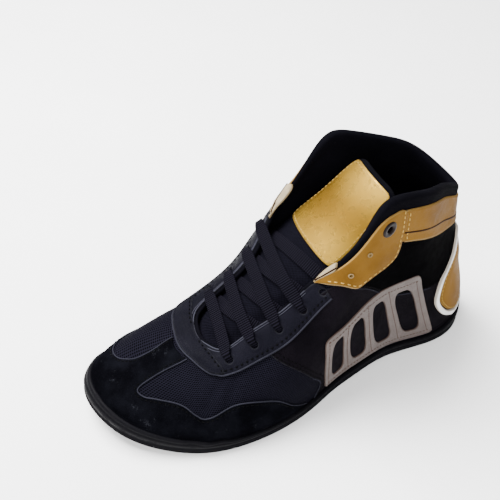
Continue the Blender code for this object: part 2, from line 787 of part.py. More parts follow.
def tongue_skin(last, skin):
    """Facets of the tongue's outside, root to top, medial to lateral."""
    rows = [row[1:] for row in TONGUE]
    tree = inner_tree(last, skin)
    points = np.zeros((TONGUE_STEPS + 1, TONGUE_ACROSS + 1, 3))
    for i in range(TONGUE_STEPS + 1):
        along = i / TONGUE_STEPS
        x, z, y, half, fall = open_spline(rows, along)
        ahead = open_spline(rows, min(along + 0.02, 1.0))
        behind = open_spline(rows, max(along - 0.02, 0.0))
        run = np.array([(ahead[0] - behind[0]) * LENGTH, 0.0, (ahead[1] - behind[1]) * COLLAR_FRONT])
        run = run / np.linalg.norm(run)
        down = np.array([run[2], 0.0, -run[0]])
        if down[2] > 0.0:
            down = -down
        for j in range(TONGUE_ACROSS + 1):
            w = 2.0 * j / TONGUE_ACROSS - 1.0
            side = np.array([x * LENGTH, (y + half * w) * THROAT_WIDTH, z * COLLAR_FRONT])
            point = side + down * fall * THROAT_WIDTH * w * w
            points[i, j] = pressed(tree, point)
    normals = sheet_normals(points)
    return Skin(points, normals, False)


def sheet_normals(points):
    """Unit normals of an open grid, pointing up."""
    along = np.gradient(points, axis=0)
    across = np.gradient(points, axis=1)
    normals = np.cross(across, along)
    normals /= np.linalg.norm(normals, axis=-1, keepdims=True)
    if normals[..., 2].mean() < 0.0:
        normals = -normals
    return normals


def sheet_solid(skin, low, high):
    """Closed solid between two offsets of an open skin."""
    rows = skin.rows
    columns = skin.columns
    top = [skin.corner(i, j, high) for i in range(columns) for j in range(rows)]
    base = [skin.corner(i, j, low) for i in range(columns) for j in range(rows)]
    count = rows * columns
    faces = []
    for i in range(columns - 1):
        for j in range(rows - 1):
            a = i * rows + j
            b = a + rows
            faces.append((a, b + 1, b))
            faces.append((a, a + 1, b + 1))
            faces.append((a + count, b + count, b + 1 + count))
            faces.append((a + count, b + 1 + count, a + 1 + count))
    rim = [i * rows for i in range(columns)]
    rim += [(columns - 1) * rows + j for j in range(1, rows)]
    rim += [i * rows + rows - 1 for i in range(columns - 2, -1, -1)]
    rim += list(range(rows - 2, 0, -1))
    for a, b in zip(rim, rim[1:] + rim[:1]):
        faces.append((a, b, b + count, a + count))
    return top + base, faces


def build_tongue(skin):
    """Padded tongue from under the vamp to above the collar."""
    points, faces = sheet_solid(skin, -TONGUE_THICKNESS, 0.0)
    return add_object("tongue", points, faces, "black_mesh")


def label_solid(skin):
    """Panel near the top of the tongue, with cut corners."""
    low, high, left, right = (share * scale for share, scale in zip(LABEL, LABEL_SCALES))
    cut_along = LABEL_CUT * (high - low)
    cut_across = LABEL_CUT * (right - left)
    outline = [
        (low + cut_along, left), (high - cut_along, left), (high, left + cut_across),
        (high, right - cut_across), (high - cut_along, right), (low + cut_along, right),
        (low, right - cut_across), (low, left + cut_across),
    ]
    return panel_solid(skin, outline, [], GAP, GAP + PANEL)


def build_tongue_label(skin):
    """Plain panel of the tongue."""
    points, faces = label_solid(skin)
    return add_object("tongue_label", points, faces, "gold_leather")


def tube_between(points, normals, radius):
    """Cutter along a straight line through a wall, as an eight-sided bar."""
    start, end = points
    axis = end - start
    axis = axis / np.linalg.norm(axis)
    side = np.cross(axis, normals)
    side = side / np.linalg.norm(side)
    other = np.cross(axis, side)
    count = 8
    ring = []
    for centre in (start, end):
        for k in range(count):
            angle = 2.0 * math.pi * k / count
            ring.append(centre + radius * (side * math.cos(angle) + other * math.sin(angle)))
    faces = [tuple(range(count))[::-1], tuple(range(count, 2 * count))]
    for k in range(count):
        n = (k + 1) % count
        faces.append((k, n, count + n, count + k))
    return ring, faces


def eyelet_places():
    """Places of the punched holes, as station, level and radius, both sides."""
    places = []
    for lateral, medial, level in EYELETS:
        places.append((lateral, level, EYELET_RADIUS))
        places.append((medial, level, EYELET_RADIUS))
    station, level = FLAP_EYELET
    places.append((station, level, GROMMET_HOLE))
    places.append((STATIONS - station, level, GROMMET_HOLE))
    return places


def build_punch(last):
    """One cutter for all eyelets, through the panels and the upper's wall."""
    points = []
    faces = []
    depth = 2.0 * COLLAR_PAD
    for station, level, radius in eyelet_places():
        u = last.distance(station)
        centre = last.point(u, level)
        normal = last.normal(u, level)
        ends = (centre - normal * depth, centre + normal * depth)
        ring, sides = tube_between(ends, np.array([1.0, 0.0, 0.0]), radius)
        first = len(points)
        points.extend(ring)
        faces.extend(tuple(first + k for k in side) for side in sides)
    return add_cutter("eyelet_punch", points, faces)


def build_panel(last, skin, name, outline, holes, finish, thickness, smooth=True):
    """A panel that lies on the upper."""
    dense = rounded(outline) if smooth else outline
    loop = grid_outline(last, dense)
    cuts = [grid_outline(last, hole) for hole in holes]
    points, faces = panel_solid(skin, loop, cuts, GAP, GAP + thickness)
    return add_object(name, points, faces, finish)


def build_eyestay(last, skin, punch):
    """U-shaped eyestay round the throat, punched with the lower eyelets."""
    outer = list(EYESTAY_OUTER)
    start = EYESTAY_END
    end = (STATIONS - EYESTAY_END[0], EYESTAY_END[1])
    inner = [(station, THROAT_MARGIN) for station in np.linspace(end[0] - 0.15, start[0] + 0.15, 18)]
    outline = [start] + outer + [end] + inner
    obj = build_panel(last, skin, "eyestay", outline, [], "black_leather", PANEL, smooth=False)
    add_boolean(obj, punch, "DIFFERENCE")
    return obj


def build_toe_wrap(last, skin):
    """Suede wrap of the toe, open for the mesh on both sides of its nose strip."""
    lateral = softened(TOE_WRAP_LATERAL, 2)
    medial = softened(TOE_WRAP_MEDIAL[:-4], 2) + softened(TOE_WRAP_MEDIAL[-4:], 2)
    foot = toe_foot(last, skin, TOE_WRAP_LATERAL[0][0], TOE_WRAP_MEDIAL[-1][0])
    outline = foot + lateral + medial
    return build_panel(last, skin, "toe_wrap", outline, [], "black_suede", PANEL, smooth=False)


def toe_foot(last, skin, start, end):
    """Lower edge of the toe wrap, just above the sole's side, a point a column."""
    levels = side_levels(last, skin)
    step = last.period / AROUND
    marks = np.append(last.knots, last.period)
    stations = np.interp(np.arange(AROUND) * step, marks, np.arange(STATIONS + 1))
    run = []
    for station, level in zip(stations, levels):
        if start + 0.15 < station < end - 0.15:
            run.append((float(station), float(level) + TOE_WRAP_CLEAR))
    return run[::-1]


def build_flap(last, skin, punch, name, medial):
    """Ankle flap with its eyelet."""
    outline = mirrored(FLAP) if medial else list(FLAP)
    dense = rounded(outline, 2)
    obj = build_panel(last, skin, name, dense, [], "gold_leather", GOLD_PANEL, smooth=False)
    add_boolean(obj, punch, "DIFFERENCE")
    return obj


def build_collar_band(last, skin):
    """Band round the back of the collar, between the two flaps."""
    lower = softened(BAND_LOWER, 2)
    other = [(-station, level) for station, level in reversed(lower[:-1])]
    low = lower + other
    top = [(station, BAND_TOP) for station in np.linspace(-3.80, 3.80, 11)]
    outline = low + top
    obj = build_panel(last, skin, "collar_band", outline, [], "gold_leather", GOLD_PANEL, smooth=False)
    return obj


def heel_outline(grow):
    """Outline of the heel panel, grown or shrunk towards the heel's back."""
    front = softened(HEEL_FRONT, 2)
    foot = list(HEEL_FOOT)
    half = front + foot
    middle = 0.40
    moved = []
    for station, level in half:
        away = level - middle
        moved.append((max(station - grow, 0.0), middle + away * (1.0 - 0.28 * grow)))
    other = [(-station, level) for station, level in reversed(moved[1:-1])]
    return moved + other


def build_heel_overlay(last, skin):
    """Gold panel on the back of the heel."""
    outline = heel_outline(HEEL_GOLD_INSET)
    return build_panel(last, skin, "heel_overlay", outline, [], "gold_leather", PANEL, smooth=False)


def build_heel_piping(last, skin):
    """Pale piping round the heel panel."""
    outer = heel_outline(0.0)
    inner = heel_outline(HEEL_GOLD_INSET * 0.82)
    return build_panel(last, skin, "heel_piping", outer, [inner], "white_piping", PIPING, smooth=False)


def cage_outlines():
    """Outline of the lateral side cage and its windows."""
    def top(station):
        share = (station - CAGE_BACK) / (CAGE_FRONT - CAGE_BACK)
        return CAGE_TOP_BACK + (CAGE_TOP_FRONT - CAGE_TOP_BACK) * share

    def place(station, share):
        level = CAGE_LOW + (top(station) - CAGE_LOW) * share
        return (station + CAGE_RAKE * (share - 0.5), level)

    outline = [place(s, 0.0) for s in np.linspace(CAGE_BACK, CAGE_FRONT, 7)]
    outline += [place(CAGE_FRONT, share) for share in (0.33, 0.66)]
    outline += [place(s, 1.0) for s in np.linspace(CAGE_FRONT, CAGE_BACK, 7)]
    outline += [place(CAGE_BACK, share) for share in (0.66, 0.33)]
    low = (CAGE_LOW_TOP - CAGE_LOW) / (CAGE_TOP_BACK - CAGE_LOW)
    high = 1.0 - CAGE_TOP_RAIL / (CAGE_TOP_BACK - CAGE_LOW)
    pitch = (CAGE_FRONT - CAGE_BACK - CAGE_RIB) / (CAGE_RIBS - 1)
    windows = []
    for k in range(CAGE_RIBS - 1):
        left = CAGE_BACK + CAGE_RIB + k * pitch
        right = left + pitch - CAGE_RIB
        cut_s = (right - left) * CAGE_WINDOW_ROUND
        cut_l = (high - low) * CAGE_WINDOW_ROUND
        windows.append([
            place(left + cut_s, low), place(right - cut_s, low), place(right, low + cut_l),
            place(right, high - cut_l), place(right - cut_s, high), place(left + cut_s, high),
            place(left, high - cut_l), place(left, low + cut_l),
        ])
    return outline, windows


def build_cage(last, skin, name, medial):
    """Silver cage of rails and raked ribs on the side of the shoe."""
    outline, windows = cage_outlines()
    if medial:
        outline = mirrored(outline)
        windows = [mirrored(window) for window in windows]
    return build_panel(last, skin, name, outline, windows, "silver_leather", PANEL, smooth=False)


def build_grommet(last, name, station, level):
    """Ring set in the flap's eyelet."""
    u = last.distance(station)
    centre = last.point(u, level)
    normal = last.normal(u, level)
    side = np.cross(normal, np.array([1.0, 0.0, 0.0]))
    side = side / np.linalg.norm(side)
    other = np.cross(normal, side)
    base = 2.0 * GAP + GOLD_PANEL
    count = 16
    profile = (
        (GROMMET_HOLE, 0.0), (GROMMET_HOLE, GROMMET_DEPTH * 0.7),
        (GROMMET_HOLE * 0.5 + GROMMET_RADIUS * 0.5, GROMMET_DEPTH),
        (GROMMET_RADIUS, GROMMET_DEPTH * 0.45), (GROMMET_RADIUS, 0.0),
    )
    points = []
    for k in range(count):
        angle = 2.0 * math.pi * k / count
        spoke = side * math.cos(angle) + other * math.sin(angle)
        for radius, lift in profile:
            points.append(centre + spoke * radius + normal * (base + lift))
    faces = []
    rows = len(profile)
    for k in range(count):
        n = (k + 1) % count
        for r in range(rows):
            s = (r + 1) % rows
            faces.append((k * rows + r, k * rows + s, n * rows + s, n * rows + r))
    return add_object(name, points, faces, "black_metal")


def ribbon_solid(centres, side, width, thickness):
    """Flat lace along a run of points, its underside on them."""
    run = np.gradient(centres, axis=0)
    run /= np.linalg.norm(run, axis=1, keepdims=True)
    up = np.cross(side, run)
    section = ((-0.5, 0.5), (-0.4, 0.0), (0.4, 0.0), (0.5, 0.5), (0.4, 1.0), (-0.4, 1.0))
    points = []
    for centre, lift in zip(centres, up):
        for w, h in section:
            points.append(centre + side * width * w + lift * thickness * h)
    count = len(section)
    faces = [tuple(range(count))]
    last_ring = (len(centres) - 1) * count
    faces.append(tuple(range(last_ring, last_ring + count))[::-1])
    for i in range(len(centres) - 1):
        for k in range(count):
            n = (k + 1) % count
            a = i * count
            b = a + count
            faces.append((a + k, b + k, b + n, a + n))
    return points, faces


def skin_tree(skin, offset):
    """Search tree of the facets of a skin, pushed out by offset."""
    rows = skin.rows
    columns = skin.columns
    points = [Vector(skin.corner(i, j, offset)) for i in range(columns) for j in range(rows)]
    faces = []
    for i in range(columns if skin.closed else columns - 1):
        for j in range(rows - 1):
            a = i * rows + j
            b = (i + 1) % columns * rows + j
            faces.append((a, b, b + 1))
            faces.append((a, b + 1, a + 1))
    return BVHTree.FromPolygons(points, faces)


def throat_lift(last):
    """Direction straight up from the throat, square to its slope."""
    front = last.point(last.distance(SIDES), 1.0)
    top = last.point(last.distance(EYELETS[-1][0]), 1.0)
    lift = np.array([front[2] - top[2], 0.0, top[0] - front[0]])
    lift = lift * np.sign(lift[2])
    return lift / np.linalg.norm(lift)


def rest_heights(places, side, lift, obstacles):
    """Height at each place at which a lace as wide as side clears all below it."""
    heights = []
    for place in places:
        best = -TONGUE_REACH
        for share in LACE_FEELERS:
            origin = Vector(place + side * share + lift * BALL_WIDTH)
            for tree, clearance in obstacles:
                hit = tree.ray_cast(origin, Vector(-lift), 2.0 * BALL_WIDTH)[0]
                if hit is not None:
                    best = max(best, float((np.array(hit) - place).dot(lift)) + clearance)
        heights.append(best if best > -TONGUE_REACH else math.nan)
    return np.array(heights)


def roof_heights(places, side, lift, tree):
    """Height at each place at which a lace as wide as side just meets the one over it."""
    heights = []
    for place in places:
        best = math.inf
        for share in LACE_FEELERS:
            origin = Vector(place + side * share - lift * BALL_WIDTH)
            hit = tree.ray_cast(origin, Vector(lift), 2.0 * BALL_WIDTH)[0]
            if hit is not None:
                height = float((np.array(hit) - place).dot(lift))
                best = min(best, height - LACE_THICKNESS + LACE_BITE)
        heights.append(best)
    return np.array(heights)


def taut(heights):
    """Heights of a taut line over a run of heights, evenly spaced."""
    hull = []
    for k, height in enumerate(heights):
        if math.isnan(height):
            continue
        while len(hull) > 1:
            (a, low), (b, high) = hull[-2], hull[-1]
            if (high - low) * (k - a) <= (height - low) * (b - a):
                hull.pop()
            else:
                break
        hull.append((k, height))
    return np.interp(np.arange(len(heights)), [k for k, _ in hull], [h for _, h in hull])


def lace_strand(first, final, lift, below, roof=None):
    """Solid of one strand between two points, taut over all below it and under a roof."""
    run = final - first
    run = run - lift * run.dot(lift)
    side = np.cross(run / np.linalg.norm(run), lift)
    shares = np.linspace(0.0, 1.0, LACE_STEPS + 1)
    places = first + shares[:, None] * run
    lowest = rest_heights(places, side * LACE_WIDTH, lift, below)
    if roof is None:
        heights = np.fmax(smooth_run(taut(lowest)), lowest)
    else:
        highest = roof_heights(places, side * LACE_WIDTH, lift, roof)
        pinned = lowest.copy()
        pinned[0] = np.fmax(highest[0], lowest[0])
        heights = np.fmax(np.minimum(taut(pinned), highest), lowest)
    centres = places + heights[:, None] * lift
    return ribbon_solid(centres, side, LACE_WIDTH, LACE_THICKNESS)


def smooth_run(values, passes=2):
    """Even out the kinks of a run of values, ends kept."""
    values = values.copy()
    for _ in range(passes):
        values[1:-1] = (values[:-2] + 2.0 * values[1:-1] + values[2:]) / 4.0
    return values


def solid_tree(solid):
    """Search tree of a solid's faces."""
    points, faces = solid
    return BVHTree.FromPolygons([Vector(p) for p in points], faces)


def build_laces(last, skin, tongue_surface):
    """Four crossings: a strand straight across and, under it, one up to the next eyelet."""
    lift = throat_lift(last)
    below = [
        (skin_tree(skin, GAP + PANEL), LACE_REST),
        (skin_tree(tongue_surface, 0.0), LACE_REST),
        (solid_tree(label_solid(tongue_surface)), LACE_REST),
    ]
    crossings = []
    for k, (eyelet, following) in enumerate(zip(EYELETS[:-1], EYELETS[1:])):
        near = last.point(last.distance(eyelet[0]), eyelet[2])
        far = last.point(last.distance(eyelet[1]), eyelet[2])
        across = (far - near) / np.linalg.norm(far - near)
        bar = lace_strand(near - across * LACE_END, far + across * LACE_END, lift, below)
        start = near + (far - near) * LACE_TURN
        onward = last.point(last.distance(following[0]), 1.0)
        back = (start - onward) / np.linalg.norm(start - onward)
        slant = lace_strand(start, onward + back * LACE_STOP, lift, below, solid_tree(bar))
        below = below + [(solid_tree(slant), LACE_REST), (solid_tree(bar), LACE_REST)]
        name = "lace_crossing_%d" % (k + 1)
        other = add_cutter(name + "_slant", slant[0], slant[1])
        obj = add_object(name, bar[0], bar[1], "black_lace")
        add_boolean(obj, other, "UNION")
        crossings.append(obj)
    return crossings


def centre_on_floor(objects):
    """Parent all to an empty that puts the middle of the shoe's footprint at the origin."""
    corners = np.array([v.co for obj in objects for v in obj.data.vertices])
    low = corners.min(axis=0)
    high = corners.max(axis=0)
    empty = bpy.data.objects.new("shoe", None)
    bpy.context.scene.collection.objects.link(empty)
    empty.location = (-(low[0] + high[0]) / 2.0, -(low[1] + high[1]) / 2.0, -low[2])
    for obj in bpy.data.objects:
        if obj is not empty:
            obj.parent = empty


def main():
    """Build the shoe."""
    clear_scene()
    last = Last()
    skin = upper_skin(last)
    tongue_surface = tongue_skin(last, skin)
    punch = build_punch(last)
    objects = [
        build_outsole(last, skin),
        build_insole(last, skin),
        build_upper(last, skin, punch),
        build_tongue(tongue_surface),
        build_tongue_label(tongue_surface),
        build_eyestay(last, skin, punch),
        build_toe_wrap(last, skin),
        build_flap(last, skin, punch, "flap_lateral", False),
        build_flap(last, skin, punch, "flap_medial", True),
        build_collar_band(last, skin),
        build_heel_overlay(last, skin),
        build_heel_piping(last, skin),
        build_cage(last, skin, "cage_lateral", False),
        build_cage(last, skin, "cage_medial", True),
        build_grommet(last, "grommet_lateral", FLAP_EYELET[0], FLAP_EYELET[1]),
        build_grommet(last, "grommet_medial", STATIONS - FLAP_EYELET[0], FLAP_EYELET[1]),
    ]
    objects += build_laces(last, skin, tongue_surface)
    centre_on_floor(objects)


main()
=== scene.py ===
"""The look of a left wrestling shoe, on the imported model.

Every piece is built on the same surface as the part's source: the outside of the
upper, over station and level. Metres, in the part's frame until add_mesh moves them.
"""

import math

import bpy
import numpy as np
from mathutils import Matrix, Vector
from mathutils.bvhtree import BVHTree
from mathutils.geometry import delaunay_2d_cdt
from mathutils.kdtree import KDTree


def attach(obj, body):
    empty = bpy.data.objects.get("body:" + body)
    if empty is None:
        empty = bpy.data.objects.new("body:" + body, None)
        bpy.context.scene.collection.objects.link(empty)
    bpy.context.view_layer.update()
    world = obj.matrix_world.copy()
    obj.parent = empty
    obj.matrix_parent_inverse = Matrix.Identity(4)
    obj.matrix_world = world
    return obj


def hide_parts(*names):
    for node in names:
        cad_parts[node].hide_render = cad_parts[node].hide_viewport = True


# Sizes of the last
LENGTH = 0.2775
BALL_WIDTH = 0.095
WAIST_WIDTH = 0.060
HEEL_WIDTH = 0.057
COLLAR_WIDTH = 0.071
THROAT_WIDTH = 0.038
COLLAR_BACK = 0.119
COLLAR_FRONT = 0.150
INSTEP_HEIGHT = 0.097
VAMP_HEIGHT = 0.052
TOE_SPRING = 0.012
HEEL_SPRING = 0.0025
ARCH_RISE = 0.003

# Feather line: share of LENGTH, the width it follows, lateral and medial shares of it
FEATHER = (
    ("heel back", 0.000, HEEL_WIDTH, -0.02, 0.02),
    ("heel corner", 0.022, HEEL_WIDTH, 0.26, 0.28),
    ("heel side", 0.097, HEEL_WIDTH, 0.48, 0.47),
    ("heel front", 0.191, HEEL_WIDTH, 0.49, 0.51),
    ("shank", 0.285, WAIST_WIDTH, 0.49, 0.43),
    ("waist", 0.364, WAIST_WIDTH, 0.57, 0.425),
    ("waist front", 0.436, WAIST_WIDTH, 0.65, 0.46),
    ("instep", 0.501, BALL_WIDTH, 0.485, 0.335),
    ("ball back", 0.573, BALL_WIDTH, 0.55, 0.38),
    ("ball", 0.674, BALL_WIDTH, 0.585, 0.415),
    ("ball front", 0.782, BALL_WIDTH, 0.55, 0.41),
    ("toe side", 0.886, BALL_WIDTH, 0.42, 0.38),
    ("toe corner", 0.962, BALL_WIDTH, 0.23, 0.295),
    ("toe tip", 1.000, BALL_WIDTH, -0.125, 0.125),
)

# Edge of the collar and the throat: share of LENGTH, the width it follows, lateral and
# medial shares of it, the height it follows, lateral and medial shares of it
EDGE = (
    ("collar back", 0.076, COLLAR_WIDTH, -0.04, 0.04, COLLAR_BACK, 1.00, 1.00),
    ("collar rear", 0.097, COLLAR_WIDTH, 0.055, 0.27, COLLAR_BACK, 1.03, 1.05),
    ("collar side", 0.148, COLLAR_WIDTH, 0.155, 0.465, COLLAR_FRONT, 0.88, 0.90),
    ("collar middle", 0.220, COLLAR_WIDTH, 0.31, 0.54, COLLAR_FRONT, 0.947, 0.953),
    ("collar top", 0.314, COLLAR_WIDTH, 0.395, 0.58, COLLAR_FRONT, 1.00, 1.013),
    ("collar corner", 0.364, COLLAR_WIDTH, 0.437, 0.58, COLLAR_FRONT, 0.99, 1.02),
    ("flap upper", 0.407, COLLAR_WIDTH, 0.458, 0.563, COLLAR_FRONT, 0.887, 0.933),
    ("flap lower", 0.447, COLLAR_WIDTH, 0.42, 0.535, COLLAR_FRONT, 0.773, 0.833),
    ("throat top", 0.490, THROAT_WIDTH, 0.58, 0.95, INSTEP_HEIGHT, 1.00, 1.134),
    ("throat upper", 0.559, THROAT_WIDTH, 0.53, 0.63, INSTEP_HEIGHT, 0.794, 0.897),
    ("throat lower", 0.638, THROAT_WIDTH, 0.50, 0.50, INSTEP_HEIGHT, 0.65, 0.711),
    ("throat front", 0.699, THROAT_WIDTH, 0.47, 0.50, VAMP_HEIGHT, 1.02, 1.04),
    ("throat corner", 0.724, THROAT_WIDTH, 0.24, 0.32, VAMP_HEIGHT, 0.99, 1.00),
    ("throat tip", 0.732, THROAT_WIDTH, -0.05, 0.05, VAMP_HEIGHT, 0.98, 0.98),
)

# How each section swells between the two lines. Rise and drop are shares of its height,
# flare and reach shares of BALL_WIDTH. Side is the height of the sole's side, a share of
# SIDEWALL_HEIGHT. Pad is how far the padded collar reaches: 1 padded, 0 plain edge.
PROFILE = (
    # rise, flare, drop, reach, side, pad
    (0.30, 0.02, 0.35, 0.00, 1.30, 1.0),
    (0.30, 0.02, 0.35, 0.00, 1.00, 1.0),
    (0.30, 0.03, 0.35, 0.00, 0.40, 1.0),
    (0.28, 0.04, 0.34, 0.02, 0.28, 1.0),
    (0.27, 0.03, 0.34, 0.03, 0.25, 1.0),
    (0.27, 0.03, 0.30, 0.05, 0.25, 0.8),
    (0.30, 0.03, 0.30, 0.065, 0.25, 0.35),
    (0.30, 0.03, 0.22, 0.105, 0.25, 0.1),
    (0.31, 0.03, 0.12, 0.17, 0.30, 0.0),
    (0.34, 0.03, 0.10, 0.19, 0.45, 0.0),
    (0.36, 0.03, 0.10, 0.19, 0.80, 0.0),
    (0.36, 0.03, 0.10, 0.21, 1.00, 0.0),
    (0.36, 0.03, 0.12, 0.27, 1.05, 0.0),
    (0.38, 0.03, 0.15, 0.34, 1.10, 0.0),
)

PROFILE_SIDE = 4
PROFILE_PAD = 5

SIDES = len(FEATHER) - 1
STATIONS = 2 * SIDES
FLANKS = ("lateral", "medial")

# Tongue, front to top: share of LENGTH, share of COLLAR_FRONT, y as a share of
# THROAT_WIDTH, half width as a share of THROAT_WIDTH, how far its sides fall away
TONGUE = (
    ("root", 0.752, 0.285, 0.00, 0.46, 0.20),
    ("throat front", 0.717, 0.335, 0.00, 0.62, 0.26),
    ("first laces", 0.666, 0.415, 0.00, 0.74, 0.30),
    ("middle laces", 0.598, 0.510, -0.05, 0.80, 0.31),
    ("last laces", 0.530, 0.622, -0.13, 0.86, 0.31),
    ("under flaps", 0.468, 0.715, -0.14, 0.88, 0.32),
    ("label middle", 0.402, 0.835, -0.07, 0.80, 0.26),
    ("label top", 0.345, 0.955, -0.03, 0.70, 0.20),
    ("top", 0.322, 1.005, -0.02, 0.56, 0.14),
)
TONGUE_CLEARANCE = 0.0011
TONGUE_FREE = 0.006
TONGUE_REACH = 0.02

# Label on the tongue: its ends as shares of the tongue's run, its sides as shares of its
# width, and how much its corners are cut
LABEL = (0.62, 0.972, 0.09, 0.91)
LABEL_CUT = 0.07

# Panels, as outlines of (station, level). A station is a section's number: 0 at the heel
# back, 13 at the toe tip, up the lateral side, and on to 26 down the medial side. Level
# runs from 0 at the feather line to 1 at the edge.
THROAT_MARGIN = 0.985
BAND_TOP = 0.955
EYESTAY_OUTER = (
    (7.42, 0.775), (7.92, 0.745), (8.75, 0.69), (9.50, 0.68), (10.00, 0.67), (10.50, 0.69),
    (10.83, 0.73), (11.50, 0.785), (12.25, 0.833), (13.00, 0.85), (13.67, 0.82), (14.25, 0.77),
    (15.10, 0.71), (15.80, 0.68), (16.50, 0.68), (17.25, 0.69), (18.08, 0.745), (18.58, 0.775),
)
EYESTAY_END = (7.95, 0.97)
TOE_WRAP_LATERAL = (
    (7.45, 0.055), (8.00, 0.133), (8.58, 0.267), (9.17, 0.35), (9.67, 0.395), (9.95, 0.38),
    (10.33, 0.335), (10.65, 0.39), (11.00, 0.46), (11.40, 0.483), (11.83, 0.467), (12.08, 0.445),
    (12.28, 0.47), (12.33, 0.583), (12.30, 0.70), (12.17, 0.815),
)
TOE_WRAP_MEDIAL = (
    (13.10, 0.835), (12.98, 0.75), (12.92, 0.66), (12.93, 0.57), (13.10, 0.48), (13.50, 0.41),
    (14.10, 0.37), (14.90, 0.36), (15.80, 0.39), (16.45, 0.46), (16.62, 0.55), (16.35, 0.63),
    (15.95, 0.665), (16.95, 0.67), (17.35, 0.50), (17.90, 0.30), (18.60, 0.055),
)
FLAP = (
    (3.86, 0.955), (4.50, 0.957), (4.98, 0.960), (5.25, 0.965), (5.92, 0.967), (6.58, 0.965),
    (7.25, 0.968), (7.97, 0.985), (7.55, 0.90), (6.90, 0.82), (6.17, 0.735), (5.67, 0.712),
    (4.83, 0.685), (4.30, 0.700), (4.00, 0.750), (3.86, 0.850),
)
BAND_LOWER = (
    (3.80, 0.79), (3.40, 0.78), (3.00, 0.768), (2.17, 0.752), (1.17, 0.765), (0.00, 0.775),
)
HEEL_FRONT = (
    (0.00, 0.70), (0.55, 0.695), (1.00, 0.655), (1.50, 0.565), (2.10, 0.465), (2.38, 0.36),
    (2.38, 0.28), (2.10, 0.18), (1.70, 0.125),
)
HEEL_FOOT = ((1.20, 0.142), (0.60, 0.165), (0.00, 0.17))
HEEL_GOLD_INSET = 0.17
# Level that the heel's panels shrink towards, and how much below it and above it
HEEL_MIDDLE = 0.40
HEEL_SQUEEZE = (0.62, 0.28)

# Side cage: a rail along the sole, a rail under the ankle and raked ribs between them
CAGE_FRONT = 6.95
CAGE_BACK = 2.70
CAGE_LOW = 0.050
CAGE_LOW_TOP = 0.135
CAGE_TOP_BACK = 0.560
CAGE_TOP_FRONT = 0.500
CAGE_TOP_RAIL = 0.075
CAGE_RIBS = 5
CAGE_RAKE = 0.80
CAGE_RIB = 0.36

# Lower eyelets from the throat's front to its top: lateral and medial station, level
EYELETS = (
    (10.55, 15.72, 0.83),
    (9.80, 16.42, 0.83),
    (9.15, 17.05, 0.84),
    (8.45, 17.68, 0.84),
    (7.78, 18.22, 0.86),
)
FLAP_EYELET = (4.70, 0.895)

# Thicknesses, as in the part's source but for the lace, which is wider here
SOLE_PLATE = 0.005
SIDEWALL = 0.0022
SIDEWALL_HEIGHT = 0.011
UPPER_WALL = 0.0022
COLLAR_PAD = 0.0055
INSOLE_THICKNESS = 0.003
TONGUE_THICKNESS = 0.0045
LACE_WIDTH = 0.0086
LACE_THICKNESS = 0.0012
EYELET_RADIUS = 0.0022
GROMMET_RADIUS = 0.0042
GROMMET_HOLE = 0.0024
# Dressed ring: its hole and its rim against the solid's
GROMMET_FIT = 0.94
GROMMET_SPREAD = 1.28
GAP = 0.0003
SIDE_GAP = 0.0005

# Laces: spacing of their points, clearance, where a slant starts on the bar over it, how
# far it tucks under the edge, and how far each bar bows aside
LACE_STEP = 0.0007
LACE_CLEAR = 0.00012
LACE_START = 0.90
LACE_TUCK = 0.0020
LACE_BOWS = (0.0010, -0.0007, 0.0009, -0.0012)

# Lace's section as (across, up), shares of its width and thickness
LACE_SECTION = (
    (-0.50, 0.50), (-0.47, 0.18), (-0.40, 0.0), (-0.2, 0.03), (0.0, 0.05), (0.2, 0.03),
    (0.40, 0.0), (0.47, 0.18), (0.50, 0.50), (0.47, 0.82), (0.40, 1.0), (0.2, 0.95),
    (0.0, 0.90), (-0.2, 0.95), (-0.40, 1.0), (-0.47, 0.82),
)

# How a bar goes into its eyelet: its height, and a share of its width, by distance
LACE_DIP = (
    (0.0, -0.0042), (0.0008, -0.0026), (0.0015, -0.0009), (0.0024, 0.0001), (0.0038, 0.0003),
    (0.0060, 0.0),
)
LACE_NARROWING = ((0.0, 0.42), (0.0015, 0.50), (0.0030, 0.62), (0.0060, 0.86), (0.0095, 1.0))

# Stitches: length, gap, radius. Each is drawn through rings of (place, swell, lift).
FINE_STITCH = (0.0021, 0.0009, 0.00030)
BOLD_STITCH = (0.0017, 0.0019, 0.00042)
FLAP_STITCH = (0.0024, 0.0012, 0.00040)
CAGE_STITCH = (0.0019, 0.0008, 0.00022)
HEEL_STITCH = (0.0021, 0.0009, 0.00028)
LABEL_STITCH = (0.0022, 0.0010, 0.00022)
STITCH_RINGS = (
    (-0.5, 0.35, -0.7), (-0.36, 0.95, 0.1), (0.0, 1.0, 0.35), (0.36, 0.95, 0.1), (0.5, 0.35, -0.7),
)

# A stitch is left out where another piece lies between these heights above it
COVER_CLEAR = 0.0008
COVER_TOP = 0.012

# Seams: how far they run from a panel's edge, how deep and wide they sink, and the
# spacing of the mesh beside them. The eyestay's stitches run beside its groove.
SEAM = 0.0016
SECOND_SEAM = 0.0040
WRAP_SEAM = 0.0018
FLAP_SEAM = 0.0020
LABEL_SEAM = 0.0021
EYESTAY_SEAM = 0.0026
EYESTAY_SEWING = 0.0030
SEAM_DEPTH = 0.00022
SEAM_SPREAD = 0.00045
SEAM_STEP = 0.0004

# Piping and cut edges: radii of their tubes
PANEL_EDGE = 0.00045
FLAP_EDGE = 0.00065
BAND_EDGE = 0.00060
BINDING_EDGE = 0.0013

